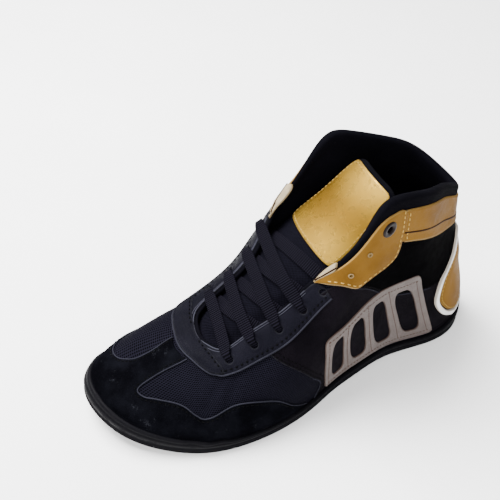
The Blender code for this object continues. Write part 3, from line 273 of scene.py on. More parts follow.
# Outsole's section, as (outset, share): outset a share of SIDEWALL, the first ones up the
# plate's edge, the others up the side and down inside it
OUTSOLE_LOWER = (
    (0.35, 0.0), (0.75, 0.03), (1.05, 0.11), (1.15, 0.24), (1.15, 0.50), (0.93, 0.56),
    (0.93, 0.61), (1.12, 0.66), (1.12, 0.75), (0.92, 0.81),
)
OUTSOLE_UPPER = (
    (0.88, 0.30), (1.08, 0.38), (1.10, 0.58), (0.90, 0.65), (0.90, 0.71), (1.06, 0.78),
    (1.00, 0.90), (0.72, 0.975), (0.35, 1.0), (0.02, 1.0), (0.0, 0.90), (0.0, 0.50),
)
TREAD_PITCH = 0.0046
TREAD_GROOVE = 0.0020
TREAD_ZIGZAG = 0.0080
TREAD_SWING = 0.0034
TREAD_DEPTH = 0.0009
TREAD_ACROSS = 120
# How much lower the sole's side is at the front
SIDE_DROP = 0.32

# Studio: half the floor's side and how far it lies below, what the lamps look at, the
# surroundings' light, and lamps as name, place, size, power
FLOOR_REACH = 4.0
FLOOR_DROP = 0.0002
LAMP_TARGET = (0.0, 0.0, 0.05)
WORLD_LIGHT = 1.05
LAMPS = (
    ("key", (0.30, -0.45, 1.00), 0.7, 66.0),
    ("front", (0.55, 0.85, 0.80), 0.9, 20.0),
)

# Material slots of the panels
PANEL_SLOTS = (
    ("quarter_lateral", "black_leather"), ("quarter_medial", "black_leather"),
    ("ankle_panel", "black_leather"), ("toe_wrap", "black_suede"), ("eyestay", "black_leather"),
    ("eyestay_front", "black_leather"), ("flap_lateral", "gold_leather"),
    ("flap_medial", "gold_leather"), ("collar_band", "gold_leather"),
    ("heel_overlay", "gold_leather"), ("heel_piping", "white_piping"),
    ("cage_lateral", "silver_leather"), ("cage_medial", "silver_leather"),
)

# Fineness: the shoe's surface, the panels, the tongue's width, the sole, round things
COLUMNS = 768
ROWS = 121
PANEL_PITCH = 0.0017
EDGE_PITCH = 0.0010
TONGUE_FINE = 61
SOLE_COLUMNS = 840
INSOLE_COLUMNS = 400
HOLE_SIDES = 24
PUNCH_SIDES = 16
TUBE_SIDES = 8
STITCH_SIDES = 6
GROMMET_SIDES = 40

# Where the panels lie above the skin, lower and upper face
QUARTER_LIES = (-0.0002, 0.0005)
ANKLE_LIES = (0.0000, 0.0006)
WRAP_LIES = (-0.0001, 0.0010)
EYESTAY_LIES = (-0.0001, 0.0013)
CRESCENT_LIES = (0.0009, 0.0023)
FLAP_LIES = (0.0008, 0.0022)
BAND_LIES = (0.0006, 0.0018)
CAGE_LIES = (0.0003, 0.0013)
HEEL_LIES = (0.0003, 0.0017)
HEEL_PIPING_LIES = (0.0003, 0.0026)
TIP_LIES = (-0.0002, 0.0021)
LABEL_LIES = (0.0, 0.0016)

# Level from which the collar's roll covers the upper's edge
COLLAR_EDGE = 0.958

# Panels that lie under the others, as (station, level)
QUARTER_FRONT = (
    (9.43, 0.72), (9.10, 0.62), (8.75, 0.53), (8.35, 0.44), (7.975, 0.36), (7.50, 0.275),
    (7.15, 0.215), (6.95, 0.16), (6.93, 0.11), (7.05, 0.03),
)
QUARTER_UNDER = (
    (5.0, 0.03), (1.0, 0.04), (-0.05, 0.05), (-0.05, 0.52), (2.0, 0.52), (4.3, 0.58), (5.6, 0.74),
    (6.5, 0.86), (8.4, 0.86), (9.0, 0.80),
)
ANKLE_SEAM = (
    (7.25, 0.86), (6.90, 0.815), (6.55, 0.775), (6.225, 0.735), (5.60, 0.655), (4.90, 0.560),
    (4.30, 0.500), (3.675, 0.455), (2.60, 0.425), (1.30, 0.440), (0.00, 0.455),
)
CRESCENT_SEAM = (
    (10.50, 0.712), (10.66, 0.775), (10.95, 0.850), (11.35, 0.915), (11.90, 0.962), (12.45, 0.985),
)
# Front piece of the eyestay: where its rear edge and its front edge end
CRESCENT_REAR = 10.75
CRESCENT_FRONT = 12.6
# Ends of the ankle panel's hidden upper edge, and of the pale lines along the throat, which are painted
# highlights
ANKLE_TOP = (7.2, 0.90)
THROAT_END = 8.3
# Station between the flap's holes and the eyestay's
FLAP_END = 7.3
# Collar band: its end under the flap, where the flap is sewn on it, its dark line
BAND_END = (4.35, 0.80)
BAND_JOIN = ((3.75, 0.945), (3.75, 0.81))
BAND_GROOVE = ((3.86, 0.842), (2.90, 0.820), (1.90, 0.812), (1.00, 0.812), (0.00, 0.815))

# Soft folds of the upper: ends as (station, level), half width and height in metres
FOLDS = (
    ((9.75, 0.05), (10.05, 0.62), 0.0040, -0.0006),
    ((10.35, 0.08), (10.50, 0.58), 0.0045, -0.0006),
    ((10.05, 0.06), (10.27, 0.60), 0.0040, 0.0004),
    ((15.95, 0.06), (15.80, 0.62), 0.0042, -0.0006),
    ((15.45, 0.08), (15.30, 0.60), 0.0045, -0.0006),
    ((7.30, 0.45), (6.30, 0.62), 0.0050, -0.0007),
    ((7.55, 0.58), (6.70, 0.70), 0.0040, 0.0005),
    ((18.80, 0.46), (19.70, 0.62), 0.0050, -0.0007),
    ((5.40, 0.20), (6.30, 0.42), 0.0070, -0.0006),
    ((20.60, 0.20), (19.70, 0.42), 0.0070, -0.0006),
    ((3.20, 0.62), (4.40, 0.67), 0.0050, -0.0005),
    ((22.90, 0.62), (21.60, 0.67), 0.0050, -0.0005),
    ((11.80, 0.55), (11.90, 0.70), 0.0060, -0.0004),
    ((1.20, 0.50), (2.60, 0.56), 0.0060, -0.0004),
)
FOLD_SPAN = 0.10
ANKLE_SWELL = 0.0009
UNEVENNESS = 0.00022

# Collar's roll inside: level of its foot at a plain edge, how much further it reaches where
# it is padded, and the sewn groove in it
PAD_FOOT = 0.90
PAD_REACH = 0.26
PAD_GROOVE = 0.0007
PAD_GROOVE_LEVEL = 0.93

# Punched holes: station, level, radius
PINHOLES = ((5.68, 0.870, 0.0010), (6.60, 0.862, 0.0010))

# Pale tips of the flaps, folded over the rim, as (station, row of the rim's sheet), and
# the dark line along them
TIP = ((8.02, 4.6), (7.85, 2.4), (7.55, 1.4), (7.20, 1.2), (7.12, 9.0), (7.45, 9.6), (7.80, 7.4))
TIP_LINE = ((7.92, 4.8), (7.70, 4.2), (7.40, 3.9), (7.14, 3.9))
# Share of the rim that the lateral tip covers, how much longer the medial tip runs, and
# the station that it is drawn out from
TIP_LATERAL = 0.58
TIP_MEDIAL = 1.30
TIP_REAR = 7.12

# Camera: azimuth, elevation and roll in degrees, distance, lens, sensor, what it looks at
CAMERA_AZIMUTH = 155.077
CAMERA_ELEVATION = 44.846
CAMERA_ROLL = 2.272
CAMERA_DISTANCE = 0.5441
CAMERA_LENS = 54.287
CAMERA_SENSOR = 36.0
CAMERA_TARGET = (0.14202, -0.0596, 0.050)

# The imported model's place: the part's source centres the shoe on its footprint
PLACE = np.array([-0.138882, -0.006892, 0.0])


def bottom_height(x):
    """Height of the sole's underside: flat at heel and ball, raised at toe, arch and back."""
    share = x / LENGTH
    toe = TOE_SPRING * np.clip((share - 0.77) / 0.23, 0.0, None) ** 1.8
    back = HEEL_SPRING * np.clip((0.045 - share) / 0.05, 0.0, None) ** 1.6
    middle = np.clip((share - 0.32) / 0.12, -1.0, 1.0)
    arch = ARCH_RISE * (1.0 + np.cos(math.pi * middle)) / 2.0
    return toe + back + arch


def both_sides(lateral, medial):
    """Rows of the lateral side, heel to toe, then those of the medial side back again."""
    return np.concatenate([lateral, medial[-2:0:-1]])


def section_lines():
    """Feather line, edge line and profile values at the stations."""
    feather_lateral = []
    feather_medial = []
    for _, along, width, lateral, medial in FEATHER:
        height = bottom_height(along * LENGTH) + SOLE_PLATE
        feather_lateral.append((along * LENGTH, lateral * width, height))
        feather_medial.append((along * LENGTH, -medial * width, height))
    edge_lateral = []
    edge_medial = []
    for _, along, width, lateral, medial, height, high_lateral, high_medial in EDGE:
        edge_lateral.append((along * LENGTH, lateral * width, high_lateral * height))
        edge_medial.append((along * LENGTH, -medial * width, high_medial * height))
    feather = both_sides(np.array(feather_lateral), np.array(feather_medial))
    edge = both_sides(np.array(edge_lateral), np.array(edge_medial))
    profile = both_sides(np.array(PROFILE), np.array(PROFILE))
    return feather, edge, profile


def closed_spline(knots, values, period, u):
    """Smooth closed curve through values at knots, read at u."""
    count = len(knots)
    step = np.diff(np.append(knots, knots[0] + period))
    matrix = np.zeros((count, count))
    right = np.zeros((count, values.shape[1]))
    for i in range(count):
        before = step[i - 1]
        after = step[i]
        nxt = (i + 1) % count
        matrix[i, i - 1] += before
        matrix[i, i] += 2.0 * (before + after)
        matrix[i, nxt] += after
        slope_after = (values[nxt] - values[i]) / after
        slope_before = (values[i] - values[i - 1]) / before
        right[i] = 6.0 * (slope_after - slope_before)
    bend = np.linalg.solve(matrix, right)
    u = np.mod(u, period)
    i = np.clip(np.searchsorted(knots, u, side="right") - 1, 0, count - 1)
    j = (i + 1) % count
    span = step[i][..., None]
    done = (u - knots[i])[..., None]
    left = span - done
    curve = (bend[i] * left ** 3 + bend[j] * done ** 3) / (6.0 * span)
    curve += (values[i] / span - bend[i] * span / 6.0) * left
    curve += (values[j] / span - bend[j] * span / 6.0) * done
    return curve


class Last:
    """The outside of the upper as a smooth surface over station and level."""

    def __init__(self):
        self.feather, self.edge, self.profile = section_lines()
        run_feather = np.linalg.norm(np.roll(self.feather, -1, 0) - self.feather, axis=1)
        run_edge = np.linalg.norm(np.roll(self.edge, -1, 0) - self.edge, axis=1)
        run = (run_feather + run_edge) / 2.0
        self.knots = np.concatenate([[0.0], np.cumsum(run)[:-1]])
        self.period = float(run.sum())

    def distance(self, station):
        """Distance round the shoe of a station number, which may lie between two."""
        marks = np.append(self.knots, self.period)
        return np.interp(np.asarray(station, float), np.arange(STATIONS + 1), marks)

    def read(self, values, u):
        """One of the station rows, read smoothly at a distance round the shoe."""
        return closed_spline(self.knots, values, self.period, u)

    def outward(self, u):
        """Level direction out of the shoe at the feather line."""
        tiny = 1e-4
        along = self.read(self.feather, u + tiny) - self.read(self.feather, u - tiny)
        out = np.stack([-along[..., 1], along[..., 0], 0.0 * along[..., 0]], -1)
        return out / np.linalg.norm(out, axis=-1, keepdims=True)

    def point(self, u, level):
        """Point of the surface at a distance round the shoe and a level."""
        u, level = np.broadcast_arrays(np.asarray(u, float), np.asarray(level, float))
        foot = self.read(self.feather, u)
        edge = self.read(self.edge, u)
        shape = self.read(self.profile, u)
        out = self.outward(u)
        height = (edge[..., 2] - foot[..., 2])[..., None]
        up = np.array([0.0, 0.0, 1.0])
        lower = foot + up * shape[..., 0:1] * height + out * shape[..., 1:2] * BALL_WIDTH
        upper = edge - up * shape[..., 2:3] * height + out * shape[..., 3:4] * BALL_WIDTH
        t = level[..., None]
        s = 1.0 - t
        return s ** 3 * foot + 3 * s ** 2 * t * lower + 3 * s * t ** 2 * upper + t ** 3 * edge

    def normal(self, u, level):
        """Unit normal of the surface, pointing out of the shoe."""
        tiny = 1e-3
        low = np.clip(np.asarray(level, float) - tiny, 0.0, 1.0)
        high = np.clip(np.asarray(level, float) + tiny, 0.0, 1.0)
        along = self.point(u + tiny, level) - self.point(u - tiny, level)
        rise = self.point(u, high) - self.point(u, low)
        out = np.cross(rise, along)
        return out / np.linalg.norm(out, axis=-1, keepdims=True)


def smooth_step(value, low, high):
    """0 below low, 1 above high, eased between."""
    share = np.clip((np.asarray(value, float) - low) / (high - low), 0.0, 1.0)
    return share * share * (3.0 - 2.0 * share)


class Sheet:
    """A fine grid of points with normals, read between its points."""

    def __init__(self, points, closed):
        self.points = points
        self.closed = closed
        self.columns, self.rows = points.shape[:2]
        if closed:
            along = np.roll(points, -1, 0) - np.roll(points, 1, 0)
        else:
            along = np.gradient(points, axis=0)
        rise = np.gradient(points, axis=1)
        normals = np.cross(rise, along)
        self.normals = normals / np.linalg.norm(normals, axis=-1, keepdims=True)
        steps = np.linalg.norm(np.diff(points, axis=1), axis=-1)
        self.run = np.concatenate([np.zeros((self.columns, 1)), np.cumsum(steps, axis=1)], axis=1)
        middle = self.rows // 2
        ring = points[:, middle]
        stride = np.linalg.norm(np.roll(ring, -1, 0) - ring, axis=-1)
        self.stride = float(stride[:-1].mean())

    def read(self, grid, a, b):
        """One of the grids at coordinates a and b."""
        a = np.asarray(a, float)
        b = np.clip(np.asarray(b, float), 0.0, self.rows - 1.000001)
        if not self.closed:
            a = np.clip(a, 0.0, self.columns - 1.000001)
        i = np.floor(a).astype(int)
        j = np.floor(b).astype(int)
        x = a - i
        y = b - j
        n = i + 1
        if self.closed:
            i = i % self.columns
            n = n % self.columns
        if grid.ndim == 3:
            x = x[..., None]
            y = y[..., None]
        low = grid[i, j] * (1.0 - x) + grid[n, j] * x
        high = grid[i, j + 1] * (1.0 - x) + grid[n, j + 1] * x
        return low * (1.0 - y) + high * y

    def normal(self, a, b):
        """Unit normal."""
        found = self.read(self.normals, a, b)
        return found / np.linalg.norm(found, axis=-1, keepdims=True)

    def at(self, a, b, offset=0.0):
        """Point pushed out by an offset."""
        offset = np.asarray(offset, float)
        if offset.ndim:
            offset = offset[..., None]
        return self.read(self.points, a, b) + self.normal(a, b) * offset

    def partials(self, a, b):
        """How the point moves with a and with b."""
        a = np.asarray(a, float)
        b = np.clip(np.asarray(b, float), 0.5, self.rows - 1.5)
        return self.at(a + 0.5, b) - self.at(a - 0.5, b), self.at(a, b + 0.5) - self.at(a, b - 0.5)

    def chart(self, a, b):
        """Distances along the sheet, in metres, for woven patterns."""
        return np.stack([np.asarray(a, float) * self.stride, self.read(self.run, a, b)], -1)


def fold_height(u, level, last):
    """Height of the folds and the padding at distances round the shoe and levels."""
    height = np.zeros(np.broadcast(u, level).shape)
    y = level * FOLD_SPAN
    for start, end, width, lift in FOLDS:
        p = np.array([float(last.distance(start[0])), start[1] * FOLD_SPAN])
        q = np.array([float(last.distance(end[0])), end[1] * FOLD_SPAN])
        run = q - p
        share = np.clip(((u - p[0]) * run[0] + (y - p[1]) * run[1]) / run.dot(run), 0.0, 1.0)
        away = np.hypot(u - p[0] - share * run[0], y - p[1] - share * run[1])
        height += lift * np.exp(-(away / width) ** 2)
    marks = np.append(last.knots, last.period)
    station = np.interp(u, marks, np.arange(STATIONS + 1))
    station = np.minimum(station, STATIONS - station)
    seam_level = np.interp(station, *zip(*sorted(ANKLE_SEAM)))
    swell = smooth_step(level, seam_level, seam_level + 0.10)
    swell = swell * (1.0 - smooth_step(level, 0.74, 0.82)) * (1.0 - smooth_step(station, 6.3, 7.2))
    # Slow waves, so that the leather doesn't look cast
    wander = np.sin(u * 61.0 + 3.0 * np.sin(y * 70.0)) * np.sin(y * 90.0 + 2.0 * np.sin(u * 37.0))
    calm = smooth_step(level, 0.04, 0.15) * (1.0 - smooth_step(level, 0.70, 0.85))
    return height * smooth_step(level, 0.02, 0.10) + ANKLE_SWELL * swell + UNEVENNESS * wander * calm


def shoe_sheet(last):
    """Outside of the upper as a fine sheet, folds included."""
    u = (np.arange(COLUMNS) * last.period / COLUMNS)[:, None]
    level = np.linspace(0.0, 1.0, ROWS)[None, :]
    points = last.point(u, level)
    normals = last.normal(u, level)
    return Sheet(points + normals * fold_height(u, level, last)[..., None], True)


def grid_place(last, station, level):
    """Grid coordinates of the shoe's sheet for stations, which may be negative, and levels."""
    station = np.asarray(station, float)
    turns = np.floor(station / STATIONS)
    distance = last.distance(station - turns * STATIONS) + turns * last.period
    return np.stack([distance * COLUMNS / last.period, np.asarray(level, float) * (ROWS - 1)], -1)


def grid_outline(last, outline):
    """An outline of stations and levels as grid coordinates."""
    spots = np.array(outline, float)
    return grid_place(last, spots[:, 0], spots[:, 1])


def curve_between(p0, p1, p2, p3, steps):
    """Points from p1 up to, but without, p2 on a smooth curve through four points."""
    t = (np.arange(steps) / steps)[:, None]
    bend = (2 * p0 - 5 * p1 + 4 * p2 - p3) * t ** 2 + (3 * p1 - p0 - 3 * p2 + p3) * t ** 3
    return 0.5 * (2 * p1 + (p2 - p0) * t + bend)


def softened(points, steps=6):
    """Open smooth curve through points, ends kept."""
    rows = np.array(points, float)
    padded = np.concatenate([[2 * rows[0] - rows[1]], rows, [2 * rows[-1] - rows[-2]]])
    pieces = [curve_between(*padded[k:k + 4], steps) for k in range(len(rows) - 1)]
    return np.concatenate(pieces + [rows[-1:]])


def rounded(points, steps=6):
    """Closed smooth curve through points."""
    rows = np.array(points, float)
    order = [np.roll(rows, n, 0) for n in (1, 0, -1, -2)]
    return np.concatenate([curve_between(*(o[k] for o in order), steps) for k in range(len(rows))])


def mirrored(outline):
    """The same outline on the medial side."""
    return np.array([(STATIONS - station, level) for station, level in reversed(list(outline))])


def pair(outline):
    """An outline of the lateral side, and the same on the medial side."""
    return outline, mirrored(outline)


def wrapped(half):
    """A run from the lateral side to the heel's back, and on to the medial side."""
    half = np.array(half, float)
    other = half[-2::-1] * np.array([-1.0, 1.0])
    return np.concatenate([half, other])


def even_run(sheet, run, pitch):
    """An open run of grid coordinates, evenly spaced on the sheet."""
    run = np.array(run, float)
    fine = [run[:1]]
    for p, q in zip(run[:-1], run[1:]):
        steps = max(2, int(math.ceil(np.abs(q - p).max() * 2.0)))
        fine.append(p + (q - p) * (np.arange(1, steps + 1) / steps)[:, None])
    fine = np.concatenate(fine)
    spots = sheet.at(fine[:, 0], fine[:, 1])
    length = np.append(0.0, np.cumsum(np.linalg.norm(np.diff(spots, axis=0), axis=1)))
    count = max(2, int(round(length[-1] / pitch)))
    marks = np.linspace(0.0, length[-1], count + 1)
    return np.stack([np.interp(marks, length, fine[:, 0]), np.interp(marks, length, fine[:, 1])], -1)


def even_loop(sheet, outline, pitch):
    """A closed outline, evenly spaced on the sheet, with its corners kept."""
    loop = np.array(outline, float)
    spots = sheet.at(loop[:, 0], loop[:, 1])
    ahead = np.roll(spots, -1, 0) - spots
    ahead = ahead / np.maximum(np.linalg.norm(ahead, axis=1, keepdims=True), 1e-9)
    turn = (ahead * np.roll(ahead, 1, 0)).sum(axis=1)
    corners = [int(k) for k in np.where(turn < math.cos(math.radians(38)))[0]] or [0]
    pieces = []
    for k, start in enumerate(corners):
        end = corners[(k + 1) % len(corners)]
        if end <= start:
            end += len(loop)
        run = loop[np.arange(start, end + 1) % len(loop)]
        pieces.append(even_run(sheet, run, pitch)[:-1])
    return np.concatenate(pieces)


def inset(sheet, loop, distance):
    """The loop moved towards its own inside by a distance on the sheet."""
    ahead = np.roll(loop, -1, 0) - np.roll(loop, 1, 0)
    area = float((loop[:, 0] * np.roll(loop[:, 1], -1) - np.roll(loop[:, 0], -1) * loop[:, 1]).sum())
    return beside(sheet, loop, ahead, distance * math.copysign(1.0, area))


def beside(sheet, run, ahead, distance):
    """Places at a distance to the left of a run whose direction is known."""
    by_a, by_b = sheet.partials(run[:, 0], run[:, 1])
    tangent = by_a * ahead[:, :1] + by_b * ahead[:, 1:]
    tangent = tangent / np.maximum(np.linalg.norm(tangent, axis=1, keepdims=True), 1e-12)
    aside = np.cross(-sheet.normal(run[:, 0], run[:, 1]), tangent) * distance
    aa = (by_a * by_a).sum(axis=1)
    ab = (by_a * by_b).sum(axis=1)
    bb = (by_b * by_b).sum(axis=1)
    to_a = (aside * by_a).sum(axis=1)
    to_b = (aside * by_b).sum(axis=1)
    scale = aa * bb - ab * ab
    return run + np.stack([(to_a * bb - to_b * ab) / scale, (to_b * aa - to_a * ab) / scale], -1)


def inside(loop, places):
    """Which places lie inside a loop."""
    x = places[:, 0]
    y = places[:, 1]
    hit = np.zeros(len(places), bool)
    for (ax, ay), (bx, by) in zip(loop, np.roll(loop, -1, 0)):
        if ay != by:
            hit ^= ((ay > y) != (by > y)) & (x < ax + (y - ay) * (bx - ax) / (by - ay))
    return hit


def border_distance(sheet, loops, places):
    """Distance on the sheet from each place to the nearest of the loops."""
    fine = []
    for loop in loops:
        ends = np.roll(loop, -1, 0)
        for share in (0.0, 0.25, 0.5, 0.75):
            fine.append(loop + (ends - loop) * share)
    fine = np.concatenate(fine)
    tree = KDTree(len(fine))
    for k, spot in enumerate(sheet.at(fine[:, 0], fine[:, 1])):
        tree.insert(spot, k)
    tree.balance()
    return np.array([tree.find(spot)[2] for spot in sheet.at(places[:, 0], places[:, 1])])


def add_mesh(name, points, faces, mats, chart=None, values=None, slots=None, sharp=50.0):
    """A mesh piece that rides on the shoe. Points are in the part's own frame."""
    mesh = bpy.data.meshes.new(name)
    moved = np.asarray(points, float) + PLACE
    mesh.from_pydata(moved.tolist(), [], faces)
    for mat in mats:
        mesh.materials.append(mat)
    if slots is not None:
        mesh.polygons.foreach_set("material_index", np.asarray(slots, np.int32))
    corners = np.zeros(len(mesh.loops), np.int32)
    mesh.loops.foreach_get("vertex_index", corners)
    if chart is not None:
        layer = mesh.uv_layers.new(name="UVMap")
        layer.uv.foreach_set("vector", np.asarray(chart, np.float32)[corners].ravel())
    for key, value in (values or {}).items():
        attribute = mesh.attributes.new(key, "FLOAT", "POINT")
        attribute.data.foreach_set("value", np.asarray(value, np.float32))
    mesh.shade_smooth()
    mesh.set_sharp_from_angle(angle=math.radians(sharp))
    obj = bpy.data.objects.new(name, mesh)
    bpy.context.scene.collection.objects.link(obj)
    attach(obj, "root")
    return obj


def open_edges(triangles):
    """Edges that only one triangle uses, as that triangle runs."""
    edges = np.concatenate([triangles[:, [0, 1]], triangles[:, [1, 2]], triangles[:, [2, 0]]])
    keys = edges[:, 0].astype(np.int64) * (edges.max() + 1) + edges[:, 1]
    back = edges[:, 1].astype(np.int64) * (edges.max() + 1) + edges[:, 0]
    return edges[~np.isin(keys, back)]


def fill_outline(sheet, outline, holes, insets):
    """Places and triangles that fill an outline, and each place's distance to the border."""
    loops = [even_loop(sheet, outline, EDGE_PITCH)]
    loops += [even_loop(sheet, hole, EDGE_PITCH * 0.5) for hole in holes]
    border = np.concatenate(loops)
    extra = []
    for depth in insets:
        for k, loop in enumerate(loops):
            extra.append(inset(sheet, loop, depth if k == 0 else -depth))
    rings = np.concatenate(extra)
    near = border_distance(sheet, loops, rings)
    wanted = np.repeat(insets, [len(border)] * len(insets))
    rings = rings[near > 0.86 * wanted]
    low = border.min(axis=0)
    high = border.max(axis=0)
    by_a, by_b = sheet.partials(border[:, 0], border[:, 1])
    step_a = PANEL_PITCH / np.linalg.norm(by_a, axis=1).mean()
    step_b = PANEL_PITCH / np.linalg.norm(by_b, axis=1).mean()
    lines = []
    for n, b in enumerate(np.arange(low[1] + step_b / 2, high[1], step_b)):
        a = np.arange(low[0] + step_a * (0.25 + 0.5 * (n % 2)), high[0], step_a)
        lines.append(np.stack([a, np.full(len(a), b)], -1))
    grid = np.concatenate(lines) if lines else np.zeros((0, 2))
    grid = grid[inside(loops[0], grid)]
    if len(grid):
        grid = grid[border_distance(sheet, loops, grid) > max(insets) + 0.45 * PANEL_PITCH]
    spots = np.concatenate([border, rings, grid])
    edges = []
    first = 0
    for loop in loops:
        count = len(loop)
        edges += [(first + k, first + (k + 1) % count) for k in range(count)]
        first += count
    found, _, triangles, _, _, _ = delaunay_2d_cdt([Vector(p) for p in spots], edges, [], 0, 1e-4)
    found = np.array([tuple(p) for p in found])
    triangles = np.array([tuple(t) for t in triangles])
    middle = found[triangles].mean(axis=1)
    keep = inside(loops[0], middle)
    for hole in loops[1:]:
        keep &= ~inside(hole, middle)
    triangles = triangles[keep]
    used, index = np.unique(triangles, return_inverse=True)
    found = found[used]
    return found, index.reshape(-1, 3), border_distance(sheet, loops, found)


def add_panel(name, sheet, outline, lies, mat, holes=(), edge=0.0006, puff=0.0, seams=(), under=0.0):
    """A panel that lies on a sheet: round edges, a little puffed, sunk along its seams.

    Lies are its lower and upper face, edge is how far its rounding reaches in, seams are
    distances from its border, and under rounds its lower side too.
    """
    depths = [edge * 0.35, edge]
    for seam in seams:
        depths += [seam - SEAM_STEP, seam, seam + SEAM_STEP]
    places, triangles, away = fill_outline(sheet, outline, holes, depths)
    low, high = lies
    share = np.clip(away / edge, 0.0, 1.0)
    arc = np.sqrt(1.0 - (1.0 - share) ** 2)
    height = low + (high - low) * (0.35 + 0.65 * arc)
    height += puff * smooth_step(away, edge, 0.008)
    for seam in seams:
        height -= SEAM_DEPTH * np.exp(-((away - seam) / SEAM_SPREAD) ** 2)
    top = sheet.at(places[:, 0], places[:, 1], height)
    base = sheet.at(places[:, 0], places[:, 1], low + under * (high - low) * (1.0 - arc) * 0.5)
    count = len(places)
    faces = triangles[:, [0, 2, 1]].tolist() + (triangles + count).tolist()
    for a, b in open_edges(triangles).tolist():
        faces.append((a, b, b + count, a + count))
    chart = sheet.chart(places[:, 0], places[:, 1])
    values = {"edge": np.concatenate([away, np.zeros(count)])}
    points = np.concatenate([top, base])
    return add_mesh(name, points, faces, [mat], np.concatenate([chart, chart]), values)


def ring_quads(first, second, count):
    """Faces between two closed rings of points."""
    return [(first + k, first + (k + 1) % count, second + (k + 1) % count, second + k)
            for k in range(count)]


def stacked_faces(rings, count):
    """Faces of a wall of closed rings, each ring upon the one before."""
    return [face for k in range(rings - 1) for face in ring_quads((k + 1) * count, k * count, count)]


def merged(parts):
    """Points and faces of several parts as one."""
    points = []
    faces = []
    for part_points, part_faces in parts:
        first = len(points)
        points.extend(part_points)
        faces.extend(tuple(first + k for k in face) for face in part_faces)
    return np.array(points), faces


def tree_of(points, faces):
    """Search tree of a mesh."""
    return BVHTree.FromPolygons([Vector(p) for p in points], faces)


def spokes(side, up, count, flat=1.0):
    """Directions evenly round a centre; flat squeezes them along up."""
    angles = [2.0 * math.pi * k / count for k in range(count)]
    return [side * math.cos(angle) + up * math.sin(angle) * flat for angle in angles]


def square_to(normal):
    """Two directions square to a normal and to each other."""
    side = np.cross(normal, np.array([1.0, 0.0, 0.0]))
    side = side / np.linalg.norm(side)
    return side, np.cross(normal, side)


def tube_parts(centres, normals, radius, closed, flat):
    """Points and faces of a tube along centres; flat squeezes it along the normals."""
    if closed:
        run = np.roll(centres, -1, 0) - np.roll(centres, 1, 0)
    else:
        run = np.gradient(centres, axis=0)
    run = run / np.maximum(np.linalg.norm(run, axis=1, keepdims=True), 1e-12)
    side = np.cross(run, normals)
    side = side / np.linalg.norm(side, axis=1, keepdims=True)
    up = np.cross(side, run)
    points = [centres + radius * spoke for spoke in spokes(side, up, TUBE_SIDES, flat)]
    faces = []
    rings = len(centres)
    for i in range(rings if closed else rings - 1):
        faces += ring_quads(i * TUBE_SIDES, (i + 1) % rings * TUBE_SIDES, TUBE_SIDES)
    if not closed:
        faces.append(tuple(range(TUBE_SIDES))[::-1])
        faces.append(tuple((rings - 1) * TUBE_SIDES + k for k in range(TUBE_SIDES)))
    return np.stack(points, 1).reshape(-1, 3), faces


def add_tubes(name, runs, mat):
    """Tubes along runs of (centres, normals, radius, closed, flat), as one piece."""
    parts = []
    chart = []
    for run in runs:
        parts.append(tube_parts(*run))
        centres = run[0]
        steps = np.linalg.norm(np.diff(centres, axis=0, prepend=centres[:1]), axis=1)
        along = np.repeat(np.cumsum(steps), TUBE_SIDES)
        around = np.tile(np.arange(TUBE_SIDES) / TUBE_SIDES, len(centres)) * 0.003
        chart.append(np.stack([along, around], -1))
    return add_mesh(name, *merged(parts), [mat], np.concatenate(chart))


def sheet_tube(sheet, run, offset, radius, closed=False, flat=1.0, pitch=0.0012):
    """A tube's run along grid coordinates of a sheet."""
    spots = even_loop(sheet, run, pitch) if closed else even_run(sheet, run, pitch)
    centres = sheet.at(spots[:, 0], spots[:, 1], offset)
    return centres, sheet.normal(spots[:, 0], spots[:, 1]), radius, closed, flat


def stitch_parts(sheet, run, offset, stitch, covers):
    """Small stitches along a run, left out where another piece covers them."""
    length, gap, radius = stitch
    spots = even_run(sheet, run, (length + gap) / 2.0)
    centres = sheet.at(spots[:, 0], spots[:, 1], offset)
    normals = sheet.normal(spots[:, 0], spots[:, 1])
    runs = np.gradient(centres, axis=0)
    runs = runs / np.linalg.norm(runs, axis=1, keepdims=True)
    points = []
    faces = []
    for centre, up, along in zip(centres[1::2], normals[1::2], runs[1::2]):
        above = Vector(centre + up * COVER_TOP)
        if any(tree.ray_cast(above, Vector(-up), COVER_TOP - COVER_CLEAR)[0] for tree in covers):
            continue
        around = spokes(np.cross(along, up), up, STITCH_SIDES, 0.8)
        first = len(points)
        for place, swell, lift in STITCH_RINGS:
            middle = centre + along * length * place + up * radius * lift
            points += [middle + spoke * radius * swell for spoke in around]
        final = len(points) - STITCH_SIDES
        for a in range(first, final, STITCH_SIDES):
            faces += ring_quads(a, a + STITCH_SIDES, STITCH_SIDES)
        faces.append(tuple(range(first, first + STITCH_SIDES))[::-1])
        faces.append(tuple(range(final, final + STITCH_SIDES)))
    return points, faces


def add_stitches(name, lines, mat):
    """Stitches of several lines as one piece."""
    return add_mesh(name, *merged(lines), [mat])


def mesh_tree(*objects):
    """Search tree of finished pieces, in the part's own frame."""
    parts = []
    for obj in objects:
        places = np.array([vertex.co for vertex in obj.data.vertices]) - PLACE
        parts.append((places, [face.vertices for face in obj.data.polygons]))
    return tree_of(*merged(parts))


def shade(colour, factor):
    """A colour made darker or lighter."""
    return tuple(min(1.0, c * factor) for c in colour)


